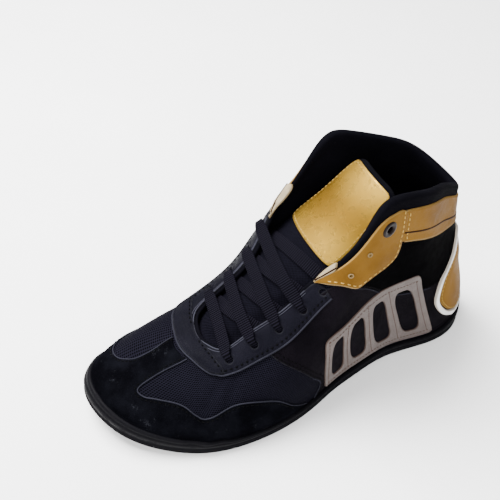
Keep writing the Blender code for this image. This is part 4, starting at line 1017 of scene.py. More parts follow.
class Paint:
    """A procedural material, built node by node."""

    def __init__(self, name, **sockets):
        self.mat = bpy.data.materials.new(name)
        self.mat.use_nodes = True
        self.tree = self.mat.node_tree
        self.shader = self.tree.nodes["Principled BSDF"]
        for key, value in sockets.items():
            self.shader.inputs[key.replace("_", " ")].default_value = value

    def add(self, kind, inputs=(), **settings):
        """A node with its settings, and its inputs linked or set."""
        node = self.tree.nodes.new(kind)
        for key, value in settings.items():
            setattr(node, key, value)
        for key, value in dict(inputs).items():
            if isinstance(value, bpy.types.NodeSocket):
                self.tree.links.new(value, node.inputs[key])
            else:
                node.inputs[key].default_value = value
        return node

    def place(self):
        """Place on the shoe, in metres."""
        return self.add("ShaderNodeTexCoord").outputs["Object"]

    def chart(self):
        """Distances along the piece, in metres, as two sockets."""
        uv = self.add("ShaderNodeUVMap", uv_map="UVMap").outputs["UV"]
        split = self.add("ShaderNodeSeparateXYZ", {0: uv})
        return split.outputs["X"], split.outputs["Y"]

    def mark(self, name):
        """A value that the piece holds at its points."""
        return self.add("ShaderNodeAttribute", attribute_name=name).outputs["Fac"]

    def noise(self, scale, detail=4.0, rough=0.55):
        """Noise from 0 to 1, scale in features a metre."""
        ports = {"Vector": self.place(), "Scale": scale, "Detail": detail, "Roughness": rough}
        return self.add("ShaderNodeTexNoise", ports).outputs["Fac"]

    def cells(self, scale):
        """Distance to the borders of small cells, as in grained leather."""
        ports = {"Vector": self.place(), "Scale": scale}
        return self.add("ShaderNodeTexVoronoi", ports, feature="DISTANCE_TO_EDGE").outputs["Distance"]

    def math(self, operation, first, second=0.0):
        """One sum."""
        return self.add("ShaderNodeMath", {0: first, 1: second}, operation=operation).outputs[0]

    def times(self, first, second):
        """Product of two values."""
        return self.math("MULTIPLY", first, second)

    def wave(self, value, turn):
        """Sine of a value, turn radians a metre."""
        return self.math("SINE", self.times(value, turn))

    def ease(self, value, low, high, start=0.0, end=1.0):
        """Value eased from start at low to end at high."""
        ports = {"Value": value, "From Min": low, "From Max": high, "To Min": start, "To Max": end}
        return self.add("ShaderNodeMapRange", ports, interpolation_type="SMOOTHSTEP").outputs["Result"]

    def mix(self, share, first, second):
        """Colour between two."""
        ports = {0: share, 6: first if isinstance(first, bpy.types.NodeSocket) else (*first, 1.0)}
        ports[7] = second if isinstance(second, bpy.types.NodeSocket) else (*second, 1.0)
        return self.add("ShaderNodeMix", ports, data_type="RGBA").outputs[2]

    def bump(self, height, distance, strength=1.0, under=None):
        """Relief of a height in metres."""
        ports = {"Height": height, "Distance": distance, "Strength": strength}
        if under:
            ports["Normal"] = under
        return self.add("ShaderNodeBump", ports).outputs["Normal"]

    def done(self, colour=None, roughness=None, normal=None):
        """Link the results and give the material."""
        for key, socket in (("Base Color", colour), ("Roughness", roughness), ("Normal", normal)):
            if socket:
                self.tree.links.new(socket, self.shader.inputs[key])
        return self.mat


def suede(name, deep, nap_colour, scuffs):
    """Napped leather: fine fibres, brushed patches, pale scuffs."""
    p = Paint(name, Specular_IOR_Level=0.0)
    nap = p.noise(1500.0, 5.0, 0.7)
    patch = p.noise(55.0, 4.0)
    colour = p.mix(p.ease(patch, 0.35, 0.70), deep, nap_colour)
    colour = p.mix(p.ease(nap, 0.52, 0.80, 0.0, 0.55), colour, shade(nap_colour, 2.4))
    rubbed = p.times(p.ease(p.noise(95.0, 6.0, 0.7), 0.60, 0.72), p.ease(nap, 0.45, 0.62))
    colour = p.mix(p.times(rubbed, scuffs), colour, (0.020, 0.021, 0.026))
    normal = p.bump(nap, 0.00035, 0.55, p.bump(patch, 0.0006, 0.4))
    return p.done(colour, p.ease(nap, 0.3, 0.7, 0.88, 1.0), normal)


def leather(name, deep, shine, roughness, grain, gloss, worn=(0.010, 0.010, 0.012)):
    """Grained leather, dark in its grain and paler where its edges are worn."""
    p = Paint(name, Specular_IOR_Level=gloss)
    cells = p.cells(grain)
    patch = p.noise(38.0, 5.0)
    fine = p.noise(2600.0, 3.0)
    colour = p.mix(p.ease(patch, 0.32, 0.72), deep, shine)
    crack = p.ease(cells, 0.0, 0.10, 1.0, 0.0)
    colour = p.mix(p.times(crack, 0.5), colour, shade(deep, 0.4))
    near = p.ease(p.mark("edge"), 0.0002, 0.0011, 1.0, 0.0)
    rubbed = p.times(near, p.ease(p.noise(420.0, 4.0), 0.35, 0.65, 0.25, 0.9))
    colour = p.mix(rubbed, colour, worn)
    rough = p.ease(p.noise(210.0, 5.0), 0.3, 0.7, roughness - 0.06, roughness + 0.09)
    height = p.math("ADD", p.ease(cells, 0.0, 0.16), p.times(fine, 0.35))
    return p.done(colour, rough, p.bump(height, 0.00010, 0.6, p.bump(patch, 0.0005, 0.10)))


def gold(name, base, dark, roughness, metallic=0.06, spread=30.0, detail=4.0, specks=0.35):
    """Coated gold leather: satin, lightly grained, pale at its cut edge."""
    p = Paint(name, Metallic=metallic, Specular_IOR_Level=0.01)
    patch = p.noise(spread, detail)
    cells = p.cells(1500.0)
    colour = p.mix(p.ease(patch, 0.34, 0.70), base, dark)
    colour = p.mix(p.ease(p.noise(900.0, 3.0), 0.62, 0.74, 0.0, specks), colour, shade(dark, 0.72))
    colour = p.mix(p.ease(p.mark("edge"), 0.0002, 0.0007, 0.40, 0.0), colour, (0.30, 0.19, 0.065))
    rough = p.ease(p.noise(160.0, 5.0), 0.3, 0.7, roughness - 0.05, roughness + 0.09)
    height = p.math("ADD", p.ease(cells, 0.0, 0.14), p.times(p.noise(2400.0, 3.0), 0.5))
    return p.done(colour, rough, p.bump(height, 0.00008, 0.6, p.bump(patch, 0.0008, 0.25)))


def knit(name, thread, hole, pitch, slant):
    """Open mesh cloth: rows of small holes between threads, straight or on the slant."""
    p = Paint(name, Specular_IOR_Level=0.01)
    first, second = p.chart()
    turn = 2.0 * math.pi / pitch
    if slant:
        first, second = p.math("ADD", first, second), p.math("SUBTRACT", first, second)
        turn = turn / math.sqrt(2.0)
    weave = p.times(p.wave(first, turn), p.wave(second, turn))
    weave = p.times(weave, -1.0) if slant else weave
    holes = p.ease(weave, 0.0, 0.55)
    fuzz = p.noise(3200.0, 4.0)
    patch = p.noise(45.0, 4.0)
    lit = p.mix(p.ease(fuzz, 0.35, 0.75), shade(thread, 0.6), shade(thread, 1.5))
    lit = p.mix(p.ease(patch, 0.35, 0.7, 0.0, 0.45), lit, shade(thread, 0.55))
    colour = p.mix(holes, lit, hole)
    height = p.math("SUBTRACT", p.times(fuzz, 0.25), holes)
    return p.done(colour, p.ease(fuzz, 0.3, 0.7, 0.72, 0.9), p.bump(height, 0.0004, 0.8))


def rubber(name, base, dusty):
    """Matt rubber with a fine texture and dust in its hollows."""
    p = Paint(name, Specular_IOR_Level=0.03)
    dust = p.ease(p.noise(120.0, 6.0, 0.65), 0.45, 0.72)
    dust = p.times(dust, p.ease(p.noise(26.0, 3.0), 0.4, 0.65))
    colour = p.mix(p.times(dust, 0.6), base, dusty)
    fine = p.noise(1900.0, 4.0, 0.6)
    colour = p.mix(p.ease(fine, 0.5, 0.8, 0.0, 0.4), colour, shade(base, 1.8))
    rough = p.ease(dust, 0.0, 0.6, 0.52, 0.85)
    return p.done(colour, rough, p.bump(fine, 0.0001, 0.6))


def cord_weave(name, deep, thread):
    """Flat braided lace: ribs across it, dark between; the contrast is partly painted highlight on the
    ribs and painted shade between them.
    """
    p = Paint(name, Specular_IOR_Level=0.02)
    along, across = p.chart()
    ribs = p.wave(along, 2.0 * math.pi / 0.00145)
    threads = p.wave(across, 2.0 * math.pi / 0.0015)
    weave = p.math("ADD", ribs, p.times(threads, 0.35))
    fuzz = p.noise(3500.0, 4.0)
    # Pale rib tops and dark grooves: partly the braid's own pattern, partly painted highlight and
    # painted shade
    colour = p.mix(p.ease(weave, -0.8, 0.9), deep, thread)
    colour = p.mix(p.ease(fuzz, 0.55, 0.8, 0.0, 0.5), colour, shade(thread, 1.7))
    height = p.math("ADD", weave, p.times(fuzz, 0.5))
    return p.done(colour, p.ease(fuzz, 0.3, 0.7, 0.70, 0.9), p.bump(height, 0.00018, 0.8))


def plain_cloth(name, base, pitch=0.0008):
    """Close woven cloth."""
    p = Paint(name, Specular_IOR_Level=0.01)
    fuzz = p.noise(2800.0, 5.0, 0.65)
    patch = p.noise(60.0, 4.0)
    place = p.add("ShaderNodeSeparateXYZ", {0: p.place()}).outputs
    turn = 2.0 * math.pi / pitch
    first = p.wave(p.math("ADD", place["X"], place["Z"]), turn)
    second = p.wave(p.math("ADD", place["Y"], place["Z"]), turn)
    weave = p.times(first, second)
    colour = p.mix(p.ease(patch, 0.35, 0.7), shade(base, 0.7), base)
    colour = p.mix(p.ease(weave, -0.5, 0.8, 0.0, 0.35), colour, shade(base, 1.8))
    height = p.math("ADD", p.times(weave, 0.5), fuzz)
    return p.done(colour, p.ease(fuzz, 0.3, 0.7, 0.8, 0.95), p.bump(height, 0.00015, 0.7))


def satin(name, base, line, roughness=0.42, metallic=0.1):
    """Coated leather with a dark line at its cut edge."""
    p = Paint(name, Metallic=metallic, Specular_IOR_Level=0.2)
    patch = p.noise(42.0, 4.0)
    fine = p.noise(2200.0, 3.0)
    colour = p.mix(p.ease(patch, 0.35, 0.7), base, shade(base, 0.84))
    grime = p.times(p.ease(p.noise(240.0, 5.0), 0.55, 0.75), 0.30)
    colour = p.mix(grime, colour, shade(base, 0.5))
    colour = p.mix(p.ease(p.mark("edge"), 0.00030, 0.00075, 0.85, 0.0), colour, line)
    rough = p.ease(p.noise(180.0, 5.0), 0.3, 0.7, roughness - 0.05, roughness + 0.10)
    height = p.math("ADD", p.ease(p.cells(1600.0), 0.0, 0.14), fine)
    return p.done(colour, rough, p.bump(height, 0.00008, 0.6))


def metal(name, base, roughness):
    """Painted metal, slightly uneven."""
    p = Paint(name, Specular_IOR_Level=0.08)
    colour = p.mix(p.ease(p.noise(500.0, 4.0), 0.4, 0.7), base, shade(base, 2.2))
    rough = p.ease(p.noise(900.0, 4.0), 0.3, 0.7, roughness - 0.06, roughness + 0.1)
    return p.done(colour, rough, p.bump(p.noise(1500.0, 3.0), 0.00005, 0.5))


def thread(name, base):
    """Twisted sewing thread."""
    p = Paint(name, Specular_IOR_Level=0.03)
    twist = p.noise(4200.0, 3.0)
    colour = p.mix(p.ease(twist, 0.35, 0.7), shade(base, 0.55), base)
    return p.done(colour, p.ease(twist, 0.3, 0.7, 0.6, 0.8), p.bump(twist, 0.0001, 0.7))


def floor_paint():
    """Pale seamless floor."""
    p = Paint("studio_floor", Specular_IOR_Level=0.1)
    colour = p.mix(p.ease(p.noise(6.0, 3.0), 0.3, 0.7), (0.90, 0.90, 0.90), (0.93, 0.93, 0.93))
    return p.done(colour, p.ease(p.noise(9.0, 3.0), 0.3, 0.7, 0.85, 0.95))


def make_paints():
    """All the materials of the shoe."""
    return {
        "mesh": knit("black_mesh", (0.0050, 0.0047, 0.0083), (0.0002, 0.0002, 0.0003), 0.0021, True),
        "tongue_mesh": knit("tongue_knit", (0.0042, 0.0039, 0.0068), (0.0004, 0.0004, 0.0007),
                            0.0014, False),
        "lining": plain_cloth("lining_cloth", (0.0018, 0.0017, 0.0027)),
        "insole": plain_cloth("insole_cloth", (0.0024, 0.0024, 0.0030), 0.0012),
        "suede": suede("black_suede", (0.0009, 0.0009, 0.0013), (0.0024, 0.0025, 0.0036), 0.9),
        "quarter": leather("quarter_leather", (0.0021, 0.0017, 0.0025), (0.0044, 0.0035, 0.0050),
                           0.46, 1100.0, 0.004),
        "ankle": leather("ankle_leather", (0.0005, 0.0005, 0.0006), (0.0011, 0.0010, 0.0013),
                         0.46, 1500.0, 0.001, worn=(0.006, 0.006, 0.007)),
        "eyestay": leather("eyestay_leather", (0.0028, 0.0027, 0.0046), (0.0046, 0.0044, 0.0072),
                           0.42, 1400.0, 0.010),
        "gold": gold("gold_leather", (0.136, 0.067, 0.0105), (0.095, 0.044, 0.0060), 0.46),
        # Label: paler gold than the flaps, partly its own colour and partly a painted broad highlight; a
        # wide, smooth swing towards the dark colour runs across it
        "label": gold("gold_label", (0.290, 0.174, 0.0240), (0.122, 0.064, 0.0068), 0.28, 0.60,
                      spread=17.0, detail=0.5, specks=0.12),
        "silver": satin("silver_leather", (0.080, 0.063, 0.057), (0.026, 0.012, 0.007)),
        "white": satin("white_piping", (0.70, 0.69, 0.67), (0.26, 0.22, 0.17), 0.5, 0.0),
        "cream": satin("cream_leather", (0.27, 0.215, 0.135), (0.16, 0.12, 0.06), 0.5, 0.0),
        "pale": plain_cloth("pale_piping", (0.20, 0.135, 0.060)),
        "grey": plain_cloth("grey_piping", (0.013, 0.013, 0.018)),
        # Pale grey of the throat lines: a painted highlight of the eyestay's folded inner edge
        "throat_highlight": plain_cloth("painted_throat_highlight", (0.024, 0.024, 0.032)),
        "binding": plain_cloth("black_binding", (0.0018, 0.0018, 0.0026)),
        "rubber": rubber("outsole_rubber", (0.0019, 0.0018, 0.0026), (0.0070, 0.0066, 0.0078)),
        # Lace colours far apart: the pale one is partly a painted highlight on the ribs, the dark one
        # partly painted shade in the grooves
        "lace": cord_weave("lace_braid", (0.0004, 0.0004, 0.0007), (0.0047, 0.0041, 0.0074)),
        "metal": metal("black_metal", (0.0040, 0.0022, 0.0020), 0.34),
        "black_thread": thread("black_thread", (0.0008, 0.0008, 0.0010)),
        "brown_thread": thread("brown_thread", (0.014, 0.004, 0.001)),
        "gold_thread": thread("gold_thread", (0.42, 0.27, 0.075)),
        "rust_thread": thread("rust_thread", (0.055, 0.022, 0.012)),
    }


def columns_round(count):
    """Grid coordinates of places evenly spread round the shoe."""
    return np.arange(count) * (COLUMNS / count)


def distances_round(last, count):
    """Distances round the shoe of the same places."""
    return columns_round(count) * last.period / COLUMNS


def pad_share(last, u):
    """How padded the collar is: 1 at the ankle, 0 along the throat."""
    return np.clip(last.read(last.profile, u)[..., PROFILE_PAD], 0.0, 1.0)


def wall_thickness(last, u, level):
    """Thickness of the upper's wall, thicker at the padded collar."""
    swell = smooth_step(level, 0.66, 0.90)
    return UPPER_WALL + (COLLAR_PAD - UPPER_WALL) * pad_share(last, u) * swell


def eyelet_places():
    """All the holes, as station, level and radius, both sides."""
    places = []
    for lateral, medial, level in EYELETS:
        places += [(lateral, level, EYELET_RADIUS), (medial, level, EYELET_RADIUS)]
    for station, level, radius in [(*FLAP_EYELET, GROMMET_HOLE), *PINHOLES]:
        places += [(station, level, radius), (STATIONS - station, level, radius)]
    return places


def hole_outline(sheet, last, station, level, radius):
    """A round hole as a loop of grid coordinates."""
    centre = grid_place(last, station, level)
    by_a, by_b = sheet.partials(centre[0], centre[1])
    across = by_a / np.linalg.norm(by_a)
    up = np.cross(sheet.normal(centre[0], centre[1]), across)
    ring = radius * np.array(spokes(across, up, HOLE_SIDES))
    matrix = np.array([[by_a.dot(by_a), by_a.dot(by_b)], [by_a.dot(by_b), by_b.dot(by_b)]])
    return centre + np.linalg.solve(matrix, np.stack([ring @ by_a, ring @ by_b])).T


def holes_on(sheet, last, stations):
    """Loops of the holes whose stations lie in a range."""
    low, high = stations
    return [hole_outline(sheet, last, *spot) for spot in eyelet_places() if low < spot[0] < high]


def ring_at(sheet, count, level, offset):
    """A closed ring of points at a level."""
    return sheet.at(columns_round(count), np.full(count, level * (ROWS - 1)), offset)


def lathe_rings(name, rings, mats, slots, chart=None):
    """A closed mesh through rings of equal count, the last joined to the first."""
    count = len(rings[0])
    faces = []
    for k in range(len(rings)):
        faces += ring_quads((k + 1) % len(rings) * count, k * count, count)
    return add_mesh(name, np.concatenate(rings), faces, mats, chart, slots=np.repeat(slots, count))


def build_shell(sheet, last, paints):
    """The upper's thin shell: mesh outside, lining inside, punched with the eyelets."""
    count = COLUMNS // 2
    outer = np.concatenate([np.linspace(0.0, 0.9, 56), np.linspace(0.915, COLLAR_EDGE, 4)])
    inner = outer[::-2]
    rings = [ring_at(sheet, count, level, 0.0) for level in outer]
    rings += [ring_at(sheet, count, level, -UPPER_WALL) for level in inner]
    slots = [0] * (len(outer) - 1) + [1] * (len(inner) + 1)
    a = columns_round(count)
    chart = [sheet.chart(a, np.full(count, level * (ROWS - 1))) for level in (*outer, *inner)]
    mats = [paints["mesh"], paints["lining"]]
    obj = lathe_rings("upper_shell", rings, mats, slots, np.concatenate(chart))
    punch(obj, sheet, last)
    return obj


def punch(obj, sheet, last):
    """Cut the eyelets through a piece."""
    parts = []
    n = PUNCH_SIDES
    for station, level, radius in eyelet_places():
        spot = grid_place(last, station, level)
        normal = sheet.normal(spot[0], spot[1])
        centre = sheet.at(spot[0], spot[1])
        around = spokes(*square_to(normal), n)
        points = [centre + spoke * radius + normal * end * 2.0 * COLLAR_PAD + PLACE
                  for end in (-1.0, 1.0) for spoke in around]
        faces = [tuple(range(n)), tuple(range(n, 2 * n))[::-1]]
        faces += [(k, n + k, n + (k + 1) % n, (k + 1) % n) for k in range(n)]
        parts.append((points, faces))
    points, faces = merged(parts)
    mesh = bpy.data.meshes.new("punch")
    mesh.from_pydata(points.tolist(), [], faces)
    cutter = bpy.data.objects.new("punch", mesh)
    bpy.context.scene.collection.objects.link(cutter)
    modifier = obj.modifiers.new("punch", "BOOLEAN")
    modifier.operation = "DIFFERENCE"
    modifier.solver = "EXACT"
    modifier.object = cutter
    graph = bpy.context.evaluated_depsgraph_get()
    cut = bpy.data.meshes.new_from_object(obj.evaluated_get(graph))
    obj.modifiers.clear()
    obj.data = cut
    bpy.data.objects.remove(cutter, do_unlink=True)


def rim_rings(sheet, last, count):
    """Rings over the padded rim, from its outer side over its top."""
    a = columns_round(count)
    u = distances_round(last, count)
    pad = pad_share(last, u)
    wall = wall_thickness(last, u, np.full(count, 1.0))
    top = ring_at(sheet, count, 1.0, 0.0)
    normal = sheet.normal(a, np.full(count, ROWS - 1.0))
    rise = top - ring_at(sheet, count, 0.97, 0.0)
    rise = rise / np.linalg.norm(rise, axis=1, keepdims=True)
    proud = 0.0002 + 0.0006 * pad
    rings = [ring_at(sheet, count, level, proud * share)
             for level, share in ((COLLAR_EDGE, 0.75), (0.972, 1.0), (0.986, 1.0))]
    for k in range(9):
        angle = math.pi * k / 8.0
        depth = -proud + (wall + proud) * (1.0 - math.cos(angle)) / 2.0
        lift = (wall + proud) * math.sin(angle) / 2.0
        rings.append(top - normal * depth[:, None] + rise * lift[:, None])
    return rings


def build_collar_pad(sheet, last, paints):
    """Padded roll round the collar and the throat, with the lining below it inside."""
    count = COLUMNS // 2
    a = columns_round(count)
    u = distances_round(last, count)
    pad = pad_share(last, u)
    rings = [ring_at(sheet, count, COLLAR_EDGE - 0.010, 0.0)] + rim_rings(sheet, last, count)
    foot = PAD_FOOT - PAD_REACH * pad
    for share in np.linspace(0.04, 1.0, 12):
        level = 1.0 - (1.0 - foot) * share
        thick = wall_thickness(last, u, level)
        groove = PAD_GROOVE * pad * np.exp(-((level - PAD_GROOVE_LEVEL) / 0.012) ** 2)
        fade = 0.0004 * (1.0 - smooth_step(share, 0.85, 1.0)) - 0.0001
        rings.append(sheet.at(a, level * (ROWS - 1), -(thick + fade - groove)))
    tuck = COLLAR_EDGE - 0.015
    for share in (0.75, 0.45, 0.2):
        level = tuck - (tuck - foot) * share
        rings.append(sheet.at(a, level * (ROWS - 1), np.full(count, -UPPER_WALL + 0.0004)))
    return lathe_rings("collar_pad", rings, [paints["lining"]], [0] * len(rings))


def build_flap_tips(sheet, last, paints):
    """Pale tips of the flaps over the rim, and the dark lines along them and the band."""
    rim = Sheet(np.stack(rim_rings(sheet, last, COLUMNS), 1), True)
    tips = []
    lines = []
    for flank, turn, cover in zip(FLANKS, (False, True), (TIP_LATERAL, 1.0)):
        runs = []
        for run in (rounded(TIP, 5), softened(TIP_LINE)):
            longer = TIP_REAR + (run[:, 0] - TIP_REAR) * TIP_MEDIAL
            stations = STATIONS - longer if turn else run[:, 0]
            rows = run[:, 1] * cover
            runs.append(np.stack([grid_place(last, stations, rows)[:, 0], rows], -1))
        tips.append(add_panel("flap_tip_" + flank, rim, runs[0], TIP_LIES, paints["cream"], edge=0.0008))
        lines.append(sheet_tube(rim, runs[1], TIP_LIES[1] - 0.0001, 0.0005, flat=0.6))
    groove = grid_outline(last, wrapped(softened(BAND_GROOVE)))
    lines.append(sheet_tube(sheet, groove, BAND_LIES[1] + 0.0001, 0.0007, flat=0.5))
    return tips, add_tubes("dark_lines", lines, paints["brown_thread"])


def heel_outline(shrink):
    """Outline of the heel panel, shrunk towards the heel's back."""
    half = np.concatenate([softened(HEEL_FRONT, 4), np.array(HEEL_FOOT)])
    station = np.maximum(half[:, 0] - shrink, 0.0)
    squeeze = np.where(half[:, 1] < HEEL_MIDDLE, *HEEL_SQUEEZE)
    level = HEEL_MIDDLE + (half[:, 1] - HEEL_MIDDLE) * (1.0 - squeeze * shrink)
    other = np.stack([-station, level], -1)[-2:0:-1]
    return np.concatenate([np.stack([station, level], -1), other])


def cage_outlines():
    """Outline of the lateral side cage, its windows and its sewing."""
    def top(station):
        share = (station - CAGE_BACK) / (CAGE_FRONT - CAGE_BACK)
        return CAGE_TOP_BACK + (CAGE_TOP_FRONT - CAGE_TOP_BACK) * share

    def place(station, share):
        level = CAGE_LOW + (top(station) - CAGE_LOW) * share
        return (station + CAGE_RAKE * (share - 0.5), level)

    outline = [place(s, 0.0) for s in np.linspace(CAGE_BACK, CAGE_FRONT, 7)]
    outline += [place(CAGE_FRONT, share) for share in (0.33, 0.66)]
    outline += [place(s, 1.0) for s in np.linspace(CAGE_FRONT, CAGE_BACK, 7)]
    outline += [place(CAGE_BACK, share) for share in (0.66, 0.33)]
    low = (CAGE_LOW_TOP - CAGE_LOW) / (CAGE_TOP_BACK - CAGE_LOW)
    high = 1.0 - CAGE_TOP_RAIL / (CAGE_TOP_BACK - CAGE_LOW)
    pitch = (CAGE_FRONT - CAGE_BACK - CAGE_RIB) / (CAGE_RIBS - 1)
    windows = []
    lines = []
    for k in range(CAGE_RIBS - 1):
        left = CAGE_BACK + CAGE_RIB + k * pitch
        right = left + pitch - CAGE_RIB
        corners = [place(left, low), place(right, low), place(right, high), place(left, high)]
        windows.append(even_corners(corners, 0.34, 7))
    for k in range(CAGE_RIBS):
        middle = CAGE_BACK + CAGE_RIB * 0.5 + k * pitch
        lines.append([place(middle, low * 0.55), place(middle, 1.0 - (1.0 - high) * 0.45)])
    for share in (low * 0.5, 1.0 - (1.0 - high) * 0.5):
        lines.append([place(s, share) for s in np.linspace(CAGE_BACK + 0.12, CAGE_FRONT - 0.12, 12)])
    return outline, windows, lines


def build_panels(sheet, last, paints):
    """Every panel that lies on the upper."""
    panels = {}

    def lay(name, outline, lies, paint, **more):
        grid = grid_outline(last, outline)
        panels[name] = add_panel(name + "_skin", sheet, grid, lies, paints[paint], **more)

    def level_run(first, final, level, count):
        return [(station, level) for station in np.linspace(first, final, count)]

    quarter = np.concatenate([softened(QUARTER_FRONT), QUARTER_UNDER])
    for flank, outline in zip(FLANKS, pair(quarter)):
        lay("quarter_" + flank, outline, QUARTER_LIES, "quarter", seams=(SEAM, SECOND_SEAM))
    reach, level = ANKLE_TOP
    ankle = np.concatenate([wrapped(softened(ANKLE_SEAM)), level_run(-reach, reach, level, 25)])
    lay("ankle_panel", ankle, ANKLE_LIES, "ankle", seams=(SEAM,), puff=0.0003)
    wrap = np.concatenate([toe_foot(sheet, last), softened(TOE_WRAP_LATERAL),
                           softened(TOE_WRAP_MEDIAL[:-4]), softened(TOE_WRAP_MEDIAL[-4:])])
    lay("toe_wrap", wrap, WRAP_LIES, "suede", seams=(WRAP_SEAM,), puff=0.0002)
    end = (STATIONS - EYESTAY_END[0], EYESTAY_END[1])
    throat = level_run(end[0] - 0.15, EYESTAY_END[0] + 0.15, THROAT_MARGIN, 60)
    stay = np.concatenate([[EYESTAY_END], softened(EYESTAY_OUTER), [end], throat])
    eyelets = holes_on(sheet, last, (FLAP_END, STATIONS - FLAP_END))
    lay("eyestay", stay, EYESTAY_LIES, "eyestay", holes=eyelets, seams=(EYESTAY_SEAM,),
        puff=0.0002, edge=0.0008)
    half, other = pair(softened(CRESCENT_SEAM))
    rim = softened(EYESTAY_OUTER)
    within = (rim[:, 0] > CRESCENT_REAR) & (rim[:, 0] < STATIONS - CRESCENT_REAR)
    rim = rim[within] + np.array([0.0, 0.008])
    throat = level_run(STATIONS - CRESCENT_FRONT, CRESCENT_FRONT, THROAT_MARGIN - 0.004, 8)
    crescent = np.concatenate([half[::-1], rim, other[::-1], throat])
    lay("eyestay_front", crescent, CRESCENT_LIES, "eyestay", seams=(SEAM,), edge=0.0007)
    reaches = ((0.0, FLAP_END), (STATIONS - FLAP_END, STATIONS))
    for flank, outline, reach in zip(FLANKS, pair(rounded(FLAP, 4)), reaches):
        lay("flap_" + flank, outline, FLAP_LIES, "gold", holes=holes_on(sheet, last, reach),
            edge=0.0007, puff=0.0003)
    low = wrapped(softened((BAND_END, *BAND_LOWER)))
    band = np.concatenate([low, level_run(-BAND_END[0], BAND_END[0], BAND_TOP, 43)])
    lay("collar_band", band, BAND_LIES, "gold", edge=0.0007, puff=0.0002)
    lay("heel_overlay", heel_outline(HEEL_GOLD_INSET), HEEL_LIES, "gold", puff=0.0005, seams=(SEAM,))
    inner = grid_outline(last, heel_outline(HEEL_GOLD_INSET * 0.82))
    lay("heel_piping", heel_outline(0.0), HEEL_PIPING_LIES, "white", holes=[inner], edge=0.0008)
    outline, windows, _ = cage_outlines()
    sides = (windows, [mirrored(window) for window in windows])
    for flank, outline, holes in zip(FLANKS, pair(even_corners(outline)), sides):
        loops = [grid_outline(last, hole) for hole in holes]
        lay("cage_" + flank, outline, CAGE_LIES, "silver", holes=loops, puff=0.0001)
    return panels


def even_corners(outline, share=0.22, steps=3):
    """An outline with its corners rounded off."""
    rows = np.array(outline, float)
    before = np.roll(rows, 1, 0)
    after = np.roll(rows, -1, 0)
    soft = []
    for p, q, r in zip(before, rows, after):
        start = q + (p - q) * share
        end = q + (r - q) * share
        for t in np.linspace(0.0, 1.0, steps + 1):
            soft.append((1 - t) ** 2 * start + 2 * t * (1 - t) * q + t ** 2 * end)
    return np.array(soft)


def toe_foot(sheet, last):
    """Lower edge of the toe wrap, just above the sole's side."""
    stations = np.linspace(TOE_WRAP_MEDIAL[-1][0] - 0.2, TOE_WRAP_LATERAL[0][0] + 0.2, 60)
    levels = side_levels(sheet, last, last.distance(stations))
    return np.stack([stations, levels - 0.010], -1)


def side_levels(sheet, last, u):
    """Level at which the sole's side ends."""
    height = last.read(last.profile, u)[..., PROFILE_SIDE] * SIDEWALL_HEIGHT
    along = last.read(last.feather, u)[..., 0]
    height *= 1.0 - SIDE_DROP * smooth_step(along, 0.55 * LENGTH, 0.75 * LENGTH)
    fine = np.linspace(0.0, 0.5, 101)
    rise = last.point(u[:, None], fine[None, :])[..., 2]
    return np.array([np.interp(h, z - z[0], fine) for h, z in zip(height, rise)])


def ladder_faces(rings, start, across, up):
    """Faces of a sheet between the halves of a ring, and the places of its inner points."""
    half = rings // 2
    faces = []
    rows = []
    for k in range(1, half):
        first = start + (k - 1) * (across - 1)
        rows.append([k] + list(range(first, first + across - 1)) + [rings - k])
    for a, b in zip(rows[0][:-1], rows[0][1:]):
        faces.append((0, b, a))
    for a, b in zip(rows[-1][:-1], rows[-1][1:]):
        faces.append((half, a, b))
    for near, far in zip(rows[:-1], rows[1:]):
        faces += [(near[n], near[n + 1], far[n + 1], far[n]) for n in range(across)]
    return faces if up else [face[::-1] for face in faces]


def ladder_points(ring, across):
    """Points between the halves of a ring, and how far each is from its border."""
    half = len(ring) // 2
    near = ring[1:half]
    far = ring[:half:-1]
    share = (np.arange(1, across) / across)[None, :, None]
    points = near[:, None] * (1.0 - share) + far[:, None] * share
    width = np.linalg.norm(far - near, axis=1)[:, None]
    border = np.minimum(share[..., 0], 1.0 - share[..., 0]) * width
    return points.reshape(-1, 3), border.reshape(-1)


def tread_depth(x, y, border):
    """Depth of the tread: zigzag grooves across the sole, and a groove along its border."""
    wave = np.abs(np.mod(y / TREAD_ZIGZAG, 1.0) - 0.5) * 2.0
    phase = np.mod((x + TREAD_SWING * wave) / TREAD_PITCH, 1.0)
    away = np.abs(phase - 0.5) * TREAD_PITCH
    groove = 1.0 - smooth_step(away, TREAD_GROOVE * 0.35, TREAD_GROOVE * 0.75)
    inner = smooth_step(border, 0.0030, 0.0042)
    rim = np.exp(-((border - 0.0022) / 0.0006) ** 2)
    return TREAD_DEPTH * np.maximum(groove * inner, 0.8 * rim)


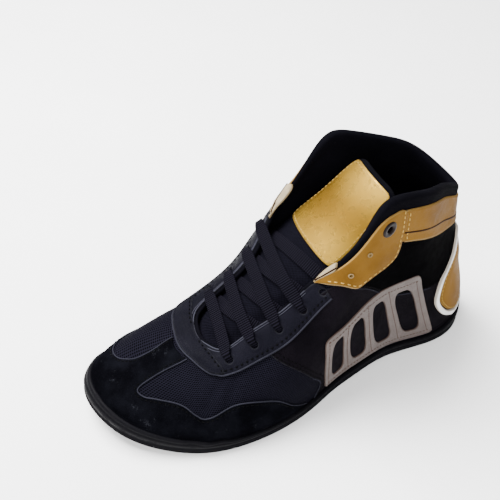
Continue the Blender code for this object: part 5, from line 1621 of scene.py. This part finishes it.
def build_outsole(sheet, last, paints):
    """Cupped rubber sole with beads along its side and a zigzag tread."""
    count = SOLE_COLUMNS
    a = columns_round(count)
    u = distances_round(last, count)
    out = last.outward(u)
    foot = last.point(u, 0.0)
    levels = side_levels(sheet, last, u)

    def below(outset, share):
        ring = foot + out * (SIDE_GAP + SIDEWALL * outset)
        low = bottom_height(np.clip(ring[:, 0], 0.0, None))
        ring[:, 2] = low + (foot[:, 2] - low) * share
        return ring

    def beside_upper(outset, share):
        return sheet.at(a, levels * share * (ROWS - 1), np.full(count, SIDE_GAP + SIDEWALL * outset))

    rings = [below(*pair) for pair in OUTSOLE_LOWER]
    rings += [beside_upper(*pair) for pair in OUTSOLE_UPPER]
    rings.append(below(0.0, 1.0))
    rings[-1][:, 2] -= GAP
    faces = stacked_faces(len(rings), count)
    points = np.concatenate(rings)
    base, border = ladder_points(rings[0], TREAD_ACROSS)
    base[:, 2] = bottom_height(base[:, 0]) + tread_depth(base[:, 0], base[:, 1], border)
    faces += ladder_faces(count, len(points), TREAD_ACROSS, False)
    points = np.concatenate([points, base])
    top, _ = ladder_points(rings[-1], 8)
    top[:, 2] = bottom_height(top[:, 0]) + SOLE_PLATE - GAP
    first = (len(rings) - 1) * count
    lid = ladder_faces(count, len(points) - first, 8, True)
    faces += [tuple(first + k for k in face) for face in lid]
    points = np.concatenate([points, top])
    return add_mesh("outsole_rubber", points, faces, [paints["rubber"]], sharp=85.0)


def build_insole(last, paints):
    """Cloth-covered footbed, dished a little, with a rounded edge."""
    count = INSOLE_COLUMNS
    u = np.arange(count) * last.period / count
    out = last.outward(u)
    foot = last.point(u, 0.0)
    rings = []
    for inward, share in ((0.4, 0.0), (0.0, 0.25), (0.0, 0.75), (0.3, 0.93), (1.0, 1.0)):
        ring = foot - out * (UPPER_WALL + 2.0 * GAP + 0.001 * inward)
        ring[:, 2] = bottom_height(ring[:, 0]) + SOLE_PLATE + GAP + INSOLE_THICKNESS * share
        rings.append(ring)
    faces = stacked_faces(len(rings), count)
    points = np.concatenate(rings)
    for ring, first, across, up in ((rings[0], 0, 6, False), (rings[-1], 4 * count, 36, True)):
        inner, border = ladder_points(ring, across)
        height = INSOLE_THICKNESS if up else 0.0
        dish = 0.0012 * smooth_step(border, 0.0, 0.020) if up else 0.0
        inner[:, 2] = bottom_height(inner[:, 0]) + SOLE_PLATE + GAP + height - dish
        part = ladder_faces(count, len(points) - first, across, up)
        faces += [tuple(first + k for k in face) for face in part]
        points = np.concatenate([points, inner])
    return add_mesh("insole_cloth", points, faces, [paints["insole"]])


def pressed(tree, point):
    """Point moved in until it lies clear of the upper's inside, less so in the opening."""
    point = Vector(point)
    near, normal, _, distance = tree.find_nearest(point)
    centre = Vector((near.x, 0.0, near.z - BALL_WIDTH / 2.0))
    if normal.dot(centre - near) < 0.0:
        normal = -normal
    depth = (point - near).dot(normal)
    short = TONGUE_CLEARANCE - depth
    if short < 0.0 or distance > TONGUE_REACH:
        return np.array(point)
    away = (point - near - normal * depth).length
    share = min(max(1.3 - away / TONGUE_FREE, 0.0), 1.0)
    return np.array(point + normal * short * share)


def tongue_sheet(sheet, last):
    """Outside of the tongue, root to top, medial to lateral."""
    a = np.arange(0, COLUMNS, 4)
    b = np.arange(0, ROWS, 3)
    wall = wall_thickness(last, (a * last.period / COLUMNS)[:, None], (b / (ROWS - 1.0))[None, :])
    inner = sheet.points[a][:, b] - sheet.normals[a][:, b] * wall[..., None]
    rows = len(b)
    faces = []
    for i in range(len(a)):
        near = i * rows
        far = (i + 1) % len(a) * rows
        faces += [(near + k, far + k, far + k + 1, near + k + 1) for k in range(rows - 1)]
    tree = tree_of(inner.reshape(-1, 3), faces)
    line = softened([row[1:] for row in TONGUE], 9)
    run = np.gradient(line[:, :2] * np.array([LENGTH, COLLAR_FRONT]), axis=0)
    run = run / np.linalg.norm(run, axis=1, keepdims=True)
    across = np.linspace(-1.0, 1.0, TONGUE_FINE)
    points = np.zeros((len(line), TONGUE_FINE, 3))
    for i, (x, z, y, half, fall) in enumerate(line):
        down = np.array([run[i, 1], 0.0, -run[i, 0]])
        down = -down if down[2] > 0.0 else down
        for j, w in enumerate(across):
            side = np.array([x * LENGTH, (y + half * w) * THROAT_WIDTH, z * COLLAR_FRONT])
            points[i, j] = pressed(tree, side + down * fall * THROAT_WIDTH * w * w)
    for _ in range(3):
        points[1:-1, 1:-1] = (points[1:-1, 1:-1] * 4.0 + points[:-2, 1:-1] + points[2:, 1:-1]
                              + points[1:-1, :-2] + points[1:-1, 2:]) / 8.0
    return Sheet(points, False)


def tongue_box(sheet, low, high, left, right, cut):
    """A box with cut corners on the tongue, from shares of its run and its width."""
    long = sheet.columns - 1.0
    wide = sheet.rows - 1.0
    cut_a = cut * (high - low)
    cut_b = cut * (right - left)
    shares = [
        (low + cut_a, left), (high - cut_a, left), (high, left + cut_b), (high, right - cut_b),
        (high - cut_a, right), (low + cut_a, right), (low, right - cut_b), (low, left + cut_b),
    ]
    return even_corners([(a * long, b * wide) for a, b in shares], 0.30, 4)


def build_tongue(tongue, paints):
    """Padded tongue, its bound edge, its bare label and the label's border and outline."""
    body = tongue_box(tongue, 0.0, 1.0, 0.0, 1.0, 0.10)
    piece = add_panel("tongue_pad", tongue, body, (-TONGUE_THICKNESS, -0.0001), paints["tongue_mesh"],
                      edge=0.0024, seams=(0.0042,), puff=0.0003, under=0.62)
    hem = inset(tongue, even_loop(tongue, body, 0.0012), 0.0004)
    binding = sheet_tube(tongue, hem, -TONGUE_THICKNESS * 0.45, BINDING_EDGE, True)
    edge = add_tubes("tongue_binding", [binding], paints["binding"])
    outline = tongue_box(tongue, *LABEL, LABEL_CUT)
    label = add_panel("tongue_panel", tongue, outline, LABEL_LIES, paints["label"],
                      edge=0.0010, puff=0.0003)
    welt = sheet_tube(tongue, outline, 0.0006, 0.0006, True)
    border = add_tubes("label_border", [welt], paints["binding"])
    return piece, edge, label, border, outline


def throat_lift(last):
    """Direction straight up from the throat, square to its slope."""
    front = last.point(last.distance(SIDES), 1.0)
    top = last.point(last.distance(EYELETS[-1][0]), 1.0)
    lift = np.array([front[2] - top[2], 0.0, top[0] - front[0]])
    lift = lift * np.sign(lift[2])
    return lift / np.linalg.norm(lift)


def rest_heights(places, side, lift, obstacles):
    """Height at each place at which a lace as wide as side clears all below it."""
    heights = []
    for place in places:
        best = -TONGUE_REACH
        for share in (-0.5, -0.25, 0.0, 0.25, 0.5):
            origin = Vector(place + side * share + lift * BALL_WIDTH)
            for tree in obstacles:
                hit = tree.ray_cast(origin, Vector(-lift), 2.0 * BALL_WIDTH)[0]
                if hit is not None:
                    best = max(best, float((np.array(hit) - place).dot(lift)) + LACE_CLEAR)
        heights.append(best if best > -TONGUE_REACH else math.nan)
    return np.array(heights)


def taut(heights):
    """Heights of a taut line over a run of heights, evenly spaced."""
    hull = []
    for k, height in enumerate(heights):
        if math.isnan(height):
            continue
        while len(hull) > 1:
            (a, low), (b, high) = hull[-2], hull[-1]
            if (high - low) * (k - a) <= (height - low) * (b - a):
                hull.pop()
            else:
                break
        hull.append((k, height))
    return np.interp(np.arange(len(heights)), [k for k, _ in hull], [h for _, h in hull])


def eased_run(values, passes):
    """Even out the kinks of a run of values, ends kept."""
    values = values.copy()
    for _ in range(passes):
        values[1:-1] = (values[:-2] + 2.0 * values[1:-1] + values[2:]) / 4.0
    return values


def strand(first, final, lift, obstacles, dips, wander):
    """Centres, side, widths and run of a lace strand; dips say which ends go into an eyelet."""
    run = final - first
    run = run - lift * run.dot(lift)
    length = float(np.linalg.norm(run))
    steps = int(length / LACE_STEP)
    side = np.cross(run / length, lift)
    shares = np.linspace(0.0, 1.0, steps + 1)
    places = first + shares[:, None] * run
    lowest = rest_heights(places[::2], side * LACE_WIDTH, lift, obstacles)
    lowest = np.interp(np.arange(steps + 1), np.arange(0, steps + 1, 2), lowest[:(steps // 2) + 1])
    heights = taut(lowest)
    heights = np.fmax(eased_run(heights, 30), np.where(np.isnan(lowest), heights, lowest))
    heights = eased_run(heights, 4)
    widths = np.full(steps + 1, LACE_WIDTH)
    for near, goes_in in zip((shares, 1.0 - shares), dips):
        away = near * length
        if goes_in:
            heights += np.interp(away, *zip(*LACE_DIP))
            widths *= np.interp(away, *zip(*LACE_NARROWING))
    bow = np.sin(math.pi * shares) * wander
    centres = places + heights[:, None] * lift + side * bow[:, None]
    return centres, side, widths


def ribbon_parts(centres, side, widths):
    """Points, faces and chart of a flat woven ribbon with soft edges, its underside on centres."""
    run = np.gradient(centres, axis=0)
    run /= np.linalg.norm(run, axis=1, keepdims=True)
    up = np.cross(side, run)
    count = len(LACE_SECTION)
    thick = LACE_THICKNESS * (1.0 + 0.7 * (1.0 - widths / LACE_WIDTH))
    steps = np.linalg.norm(np.diff(centres, axis=0, prepend=centres[:1]), axis=1)
    along = np.cumsum(steps)
    ripple = 0.00005 * np.sin(along * 2.0 * math.pi / 0.0025)
    points = []
    chart = []
    for k, centre in enumerate(centres):
        for w, h in LACE_SECTION:
            points.append(centre + side * widths[k] * w + up[k] * (thick[k] * h + ripple[k]))
            chart.append((along[k], (w + 0.5) * LACE_WIDTH))
    faces = [tuple(range(count))]
    last_ring = (len(centres) - 1) * count
    faces.append(tuple(range(last_ring, last_ring + count))[::-1])
    for i in range(len(centres) - 1):
        for k in range(count):
            n = (k + 1) % count
            a = i * count
            b = a + count
            faces.append((a + k, b + k, b + n, a + n))
    return points, faces, chart


def build_laces(sheet, last, below, paints):
    """Bars straight across from eyelet to eyelet, and the slants under them."""
    lift = throat_lift(last)
    trees = list(below)
    for k, (eyelet, following) in enumerate(zip(EYELETS[:-1], EYELETS[1:])):
        spots = [grid_place(last, station, eyelet[2]) for station in eyelet[:2]]
        near, far = (sheet.at(spot[0], spot[1], 0.0010) for spot in spots)
        start = near + (far - near) * LACE_START
        onward = last.point(last.distance(following[0]), 1.0)
        goal = onward + (onward - start) / np.linalg.norm(onward - start) * LACE_TUCK
        slant = strand(start, goal, lift, trees[:1], (False, False), LACE_BOWS[k] * 0.6)
        slant = ribbon_parts(*slant)
        slant_tree = tree_of(*slant[:2])
        bar = strand(near, far, lift, trees + [slant_tree], (True, True), LACE_BOWS[k])
        bar = ribbon_parts(*bar)
        trees += [slant_tree, tree_of(*bar[:2])]
        for word, (points, faces, chart) in (("slant", slant), ("bar", bar)):
            name = "lace_%s_%d" % (word, k + 1)
            piece = add_mesh(name, np.array(points), faces, [paints["lace"]], np.array(chart))
            stand_for(piece, "lace", "lace_crossing_%d" % (k + 1))


def build_grommet(sheet, last, name, station, level, paints):
    """Turned ring set in a flap's eyelet."""
    spot = grid_place(last, station, level)
    normal = sheet.normal(spot[0], spot[1])
    centre = sheet.at(spot[0], spot[1], FLAP_LIES[1])
    hole = GROMMET_HOLE * GROMMET_FIT
    rim = GROMMET_RADIUS * GROMMET_SPREAD
    profile = [(hole, -0.0022), (hole, 0.0002)]
    for k in range(7):
        angle = math.pi * (0.96 - 0.92 * k / 6.0)
        radius = (hole + rim) / 2.0 + (rim - hole) / 2.0 * math.cos(angle)
        profile.append((radius, 0.0009 * math.sin(angle)))
    profile += [(rim, -0.0004), (hole + 0.0006, -0.0004), (hole + 0.0006, -0.0022)]
    points = [centre + spoke * radius + normal * height
              for spoke in spokes(*square_to(normal), GROMMET_SIDES) for radius, height in profile]
    rows = len(profile)
    faces = []
    for k in range(GROMMET_SIDES):
        faces += ring_quads(k * rows, (k + 1) % GROMMET_SIDES * rows, rows)
    return add_mesh(name + "_ring", np.array(points), faces, [paints["metal"]])


def build_trims(sheet, last, paints):
    """Piping and folded edges along the panels, and pale lines along the throat that are painted
    highlights of the eyestay's inner edge.
    """
    def tube(outline, *rest):
        return sheet_tube(sheet, grid_outline(last, outline), *rest)

    pale = [tube(run, 0.0012, FLAP_EDGE) for run in pair(softened(FLAP[7:] + FLAP[:1]))]
    pale.append(tube(wrapped(softened(BAND_LOWER)), 0.0010, BAND_EDGE))
    for station, level, radius in PINHOLES:
        for place in (station, STATIONS - station):
            rim = hole_outline(sheet, last, place, level, radius * 1.25)
            pale.append(sheet_tube(sheet, rim, FLAP_LIES[1] + 0.0002, PANEL_EDGE, True, pitch=0.0004))
    grey = [tube(softened(run), 0.0007, PANEL_EDGE) for run in (TOE_WRAP_LATERAL, TOE_WRAP_MEDIAL[:-1])]
    for seam, offset in ((ANKLE_SEAM[2:9], 0.0007), (QUARTER_FRONT[5:], 0.0004)):
        grey += [tube(run, offset, PANEL_EDGE) for run in pair(softened(seam))]
    fold = [tube(softened(EYESTAY_OUTER) + np.array([0.0, 0.004]), 0.0011, 0.0006)]
    # Two pale lines along the throat: painted highlights of the eyestay's folded inner edge, not piping
    stations = np.linspace(THROAT_END, STATIONS - THROAT_END, 80)
    throat = [tube([(station, THROAT_MARGIN - down) for station in stations], offset, radius)
              for down, offset, radius in ((0.006, 0.0013, PANEL_EDGE), (0.030, 0.0012, 0.0003))]
    return (
        add_tubes("pale_edges", pale, paints["pale"]),
        add_tubes("grey_edges", grey, paints["grey"]),
        add_tubes("eyestay_edge", fold, paints["grey"]),
        add_tubes("throat_painted_highlights", throat, paints["throat_highlight"]),
    )


def build_stitches(sheet, last, tongue, label_outline, covers, paints):
    """The seams' stitches, by thread."""
    def line(outline, aside, offset, stitch=FINE_STITCH):
        run = even_run(sheet, grid_outline(last, outline), 0.002)
        run = beside(sheet, run, np.gradient(run, axis=0), aside)
        return stitch_parts(sheet, run, offset, stitch, covers)

    def loop(surface, outline, aside, offset, stitch, above):
        run = inset(surface, even_loop(surface, outline, 0.002), aside)
        return stitch_parts(surface, np.concatenate([run, run[:1]]), offset, stitch, above)

    stay = EYESTAY_LIES[1] + 0.0002
    black = [line(softened(EYESTAY_OUTER), EYESTAY_SEWING, stay, BOLD_STITCH)]
    for seam in pair(softened(CRESCENT_SEAM)):
        black.append(line(seam, -SEAM, CRESCENT_LIES[1] + 0.0002, BOLD_STITCH))
    for seam in (TOE_WRAP_LATERAL[1:], TOE_WRAP_MEDIAL[:-1]):
        black.append(line(softened(seam), -WRAP_SEAM, WRAP_LIES[1]))
    for front, ankle in zip(pair(softened(QUARTER_FRONT)), pair(softened(ANKLE_SEAM))):
        black += [line(front, -aside, QUARTER_LIES[1]) for aside in (SEAM, SECOND_SEAM)]
        black.append(line(ankle, -SEAM, ANKLE_LIES[1]))
    yellow = []
    join = np.array(BAND_JOIN)
    joins = (join, np.array([STATIONS, 0.0]) + join * np.array([-1.0, 1.0]))
    for flap, band in zip(pair(softened(FLAP[8:] + FLAP[:1])), joins):
        yellow.append(line(flap, -FLAP_SEAM, FLAP_LIES[1], FLAP_STITCH))
        yellow.append(line(band, 0.0, BAND_LIES[1] + 0.0001, FLAP_STITCH))
    heel = grid_outline(last, heel_outline(HEEL_GOLD_INSET))
    yellow.append(loop(sheet, heel, SEAM, HEEL_LIES[1] + 0.0002, HEEL_STITCH, covers))
    _, _, ribs = cage_outlines()
    rust = [line(run, 0.0, CAGE_LIES[1] + 0.0001, CAGE_STITCH)
            for side in (ribs, [mirrored(rib) for rib in ribs]) for run in side]
    label = [loop(tongue, label_outline, LABEL_SEAM, LABEL_LIES[1] + 0.0002, LABEL_STITCH, [])]
    return (
        add_stitches("stitches_black", black, paints["black_thread"]),
        add_stitches("stitches_gold", yellow, paints["gold_thread"]),
        add_stitches("stitches_rust", rust, paints["rust_thread"]),
        add_stitches("stitches_label", label, paints["gold_thread"]),
    )


def add_camera():
    """Camera at the photograph's angle."""
    azimuth, elevation, roll = np.radians([CAMERA_AZIMUTH, CAMERA_ELEVATION, CAMERA_ROLL])
    level = math.cos(elevation)
    back = Vector((math.sin(azimuth) * level, -math.cos(azimuth) * level, math.sin(elevation)))
    right = (-back).cross(Vector((0.0, 0.0, 1.0))).normalized()
    up = right.cross(-back)
    turned = right * math.cos(roll) + up * math.sin(roll)
    upright = up * math.cos(roll) - right * math.sin(roll)
    data = bpy.data.cameras.new("camera")
    data.lens = CAMERA_LENS
    data.sensor_width = CAMERA_SENSOR
    camera = bpy.data.objects.new("camera", data)
    bpy.context.scene.collection.objects.link(camera)
    matrix = Matrix((turned, upright, back)).transposed().to_4x4()
    matrix.translation = Vector(CAMERA_TARGET) + Vector(PLACE) + back * CAMERA_DISTANCE
    camera.matrix_world = matrix
    bpy.context.scene.camera = camera


def add_light(name, place, size, power):
    """Soft square lamp that looks at the shoe."""
    data = bpy.data.lights.new(name, "AREA")
    data.size = size
    data.energy = power
    lamp = bpy.data.objects.new(name, data)
    bpy.context.scene.collection.objects.link(lamp)
    lamp.location = place
    aim = Vector(LAMP_TARGET) - Vector(place)
    lamp.rotation_mode = "QUATERNION"
    lamp.rotation_quaternion = aim.to_track_quat("-Z", "Y")


def add_studio():
    """Pale floor, pale surroundings, soft light."""
    mesh = bpy.data.meshes.new("studio_floor")
    corners = ((-1, -1), (1, -1), (1, 1), (-1, 1))
    mesh.from_pydata([(x * FLOOR_REACH, y * FLOOR_REACH, -FLOOR_DROP) for x, y in corners], [],
                     [(0, 1, 2, 3)])
    mesh.materials.append(floor_paint())
    floor = bpy.data.objects.new("studio_floor", mesh)
    bpy.context.scene.collection.objects.link(floor)
    world = bpy.data.worlds.new("studio")
    world.use_nodes = True
    background = world.node_tree.nodes["Background"]
    background.inputs["Color"].default_value = (1.0, 1.0, 1.0, 1.0)
    background.inputs["Strength"].default_value = WORLD_LIGHT
    bpy.context.scene.world = world
    for lamp in LAMPS:
        add_light(*lamp)


def stand_for(piece, slot, *nodes):
    """The piece replaces nodes, which are hidden."""
    if nodes:
        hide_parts(*nodes)


def main():
    """Dress the shoe."""
    last = Last()
    sheet = shoe_sheet(last)
    paints = make_paints()
    stand_for(build_shell(sheet, last, paints), "upper_mesh", "upper")
    pad = build_collar_pad(sheet, last, paints)
    stand_for(pad, "upper_mesh")
    panels = build_panels(sheet, last, paints)
    for name, slot in PANEL_SLOTS:
        nodes = (name,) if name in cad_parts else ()
        stand_for(panels[name], slot, *nodes)
    stand_for(build_outsole(sheet, last, paints), "outsole_rubber", "outsole")
    stand_for(build_insole(last, paints), "insole_cloth", "insole")
    tongue = tongue_sheet(sheet, last)
    piece, edge, label, border, label_outline = build_tongue(tongue, paints)
    stand_for(piece, "tongue_mesh", "tongue")
    stand_for(edge, "tongue_mesh")
    stand_for(label, "gold_leather", "tongue_label")
    stand_for(border, "black_leather")
    trims = build_trims(sheet, last, paints)
    slots = ("white_piping", "black_leather", "black_leather", "silver_leather")
    for trim, slot in zip(trims, slots):
        stand_for(trim, slot)
    below = [mesh_tree(piece), mesh_tree(label), mesh_tree(panels["eyestay"], pad, trims[3])]
    build_laces(sheet, last, below, paints)
    eyelet, level = FLAP_EYELET
    for flank, station in zip(FLANKS, (eyelet, STATIONS - eyelet)):
        name = "grommet_" + flank
        stand_for(build_grommet(sheet, last, name, station, level, paints), "black_metal", name)
    covers = [mesh_tree(*panels.values())]
    tips, lines = build_flap_tips(sheet, last, paints)
    for piece in (*tips, lines):
        stand_for(piece, "gold_leather")
    stitches = build_stitches(sheet, last, tongue, label_outline, covers, paints)
    slots = ("black_leather", "gold_leather", "silver_leather", "gold_leather")
    for sewn, slot in zip(stitches, slots):
        stand_for(sewn, slot)
    add_camera()
    add_studio()


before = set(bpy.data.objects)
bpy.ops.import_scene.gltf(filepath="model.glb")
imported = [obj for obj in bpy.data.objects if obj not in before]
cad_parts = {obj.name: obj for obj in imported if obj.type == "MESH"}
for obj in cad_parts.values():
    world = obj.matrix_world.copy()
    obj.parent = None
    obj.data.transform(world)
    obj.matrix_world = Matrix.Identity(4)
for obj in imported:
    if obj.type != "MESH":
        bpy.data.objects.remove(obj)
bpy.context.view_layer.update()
main()
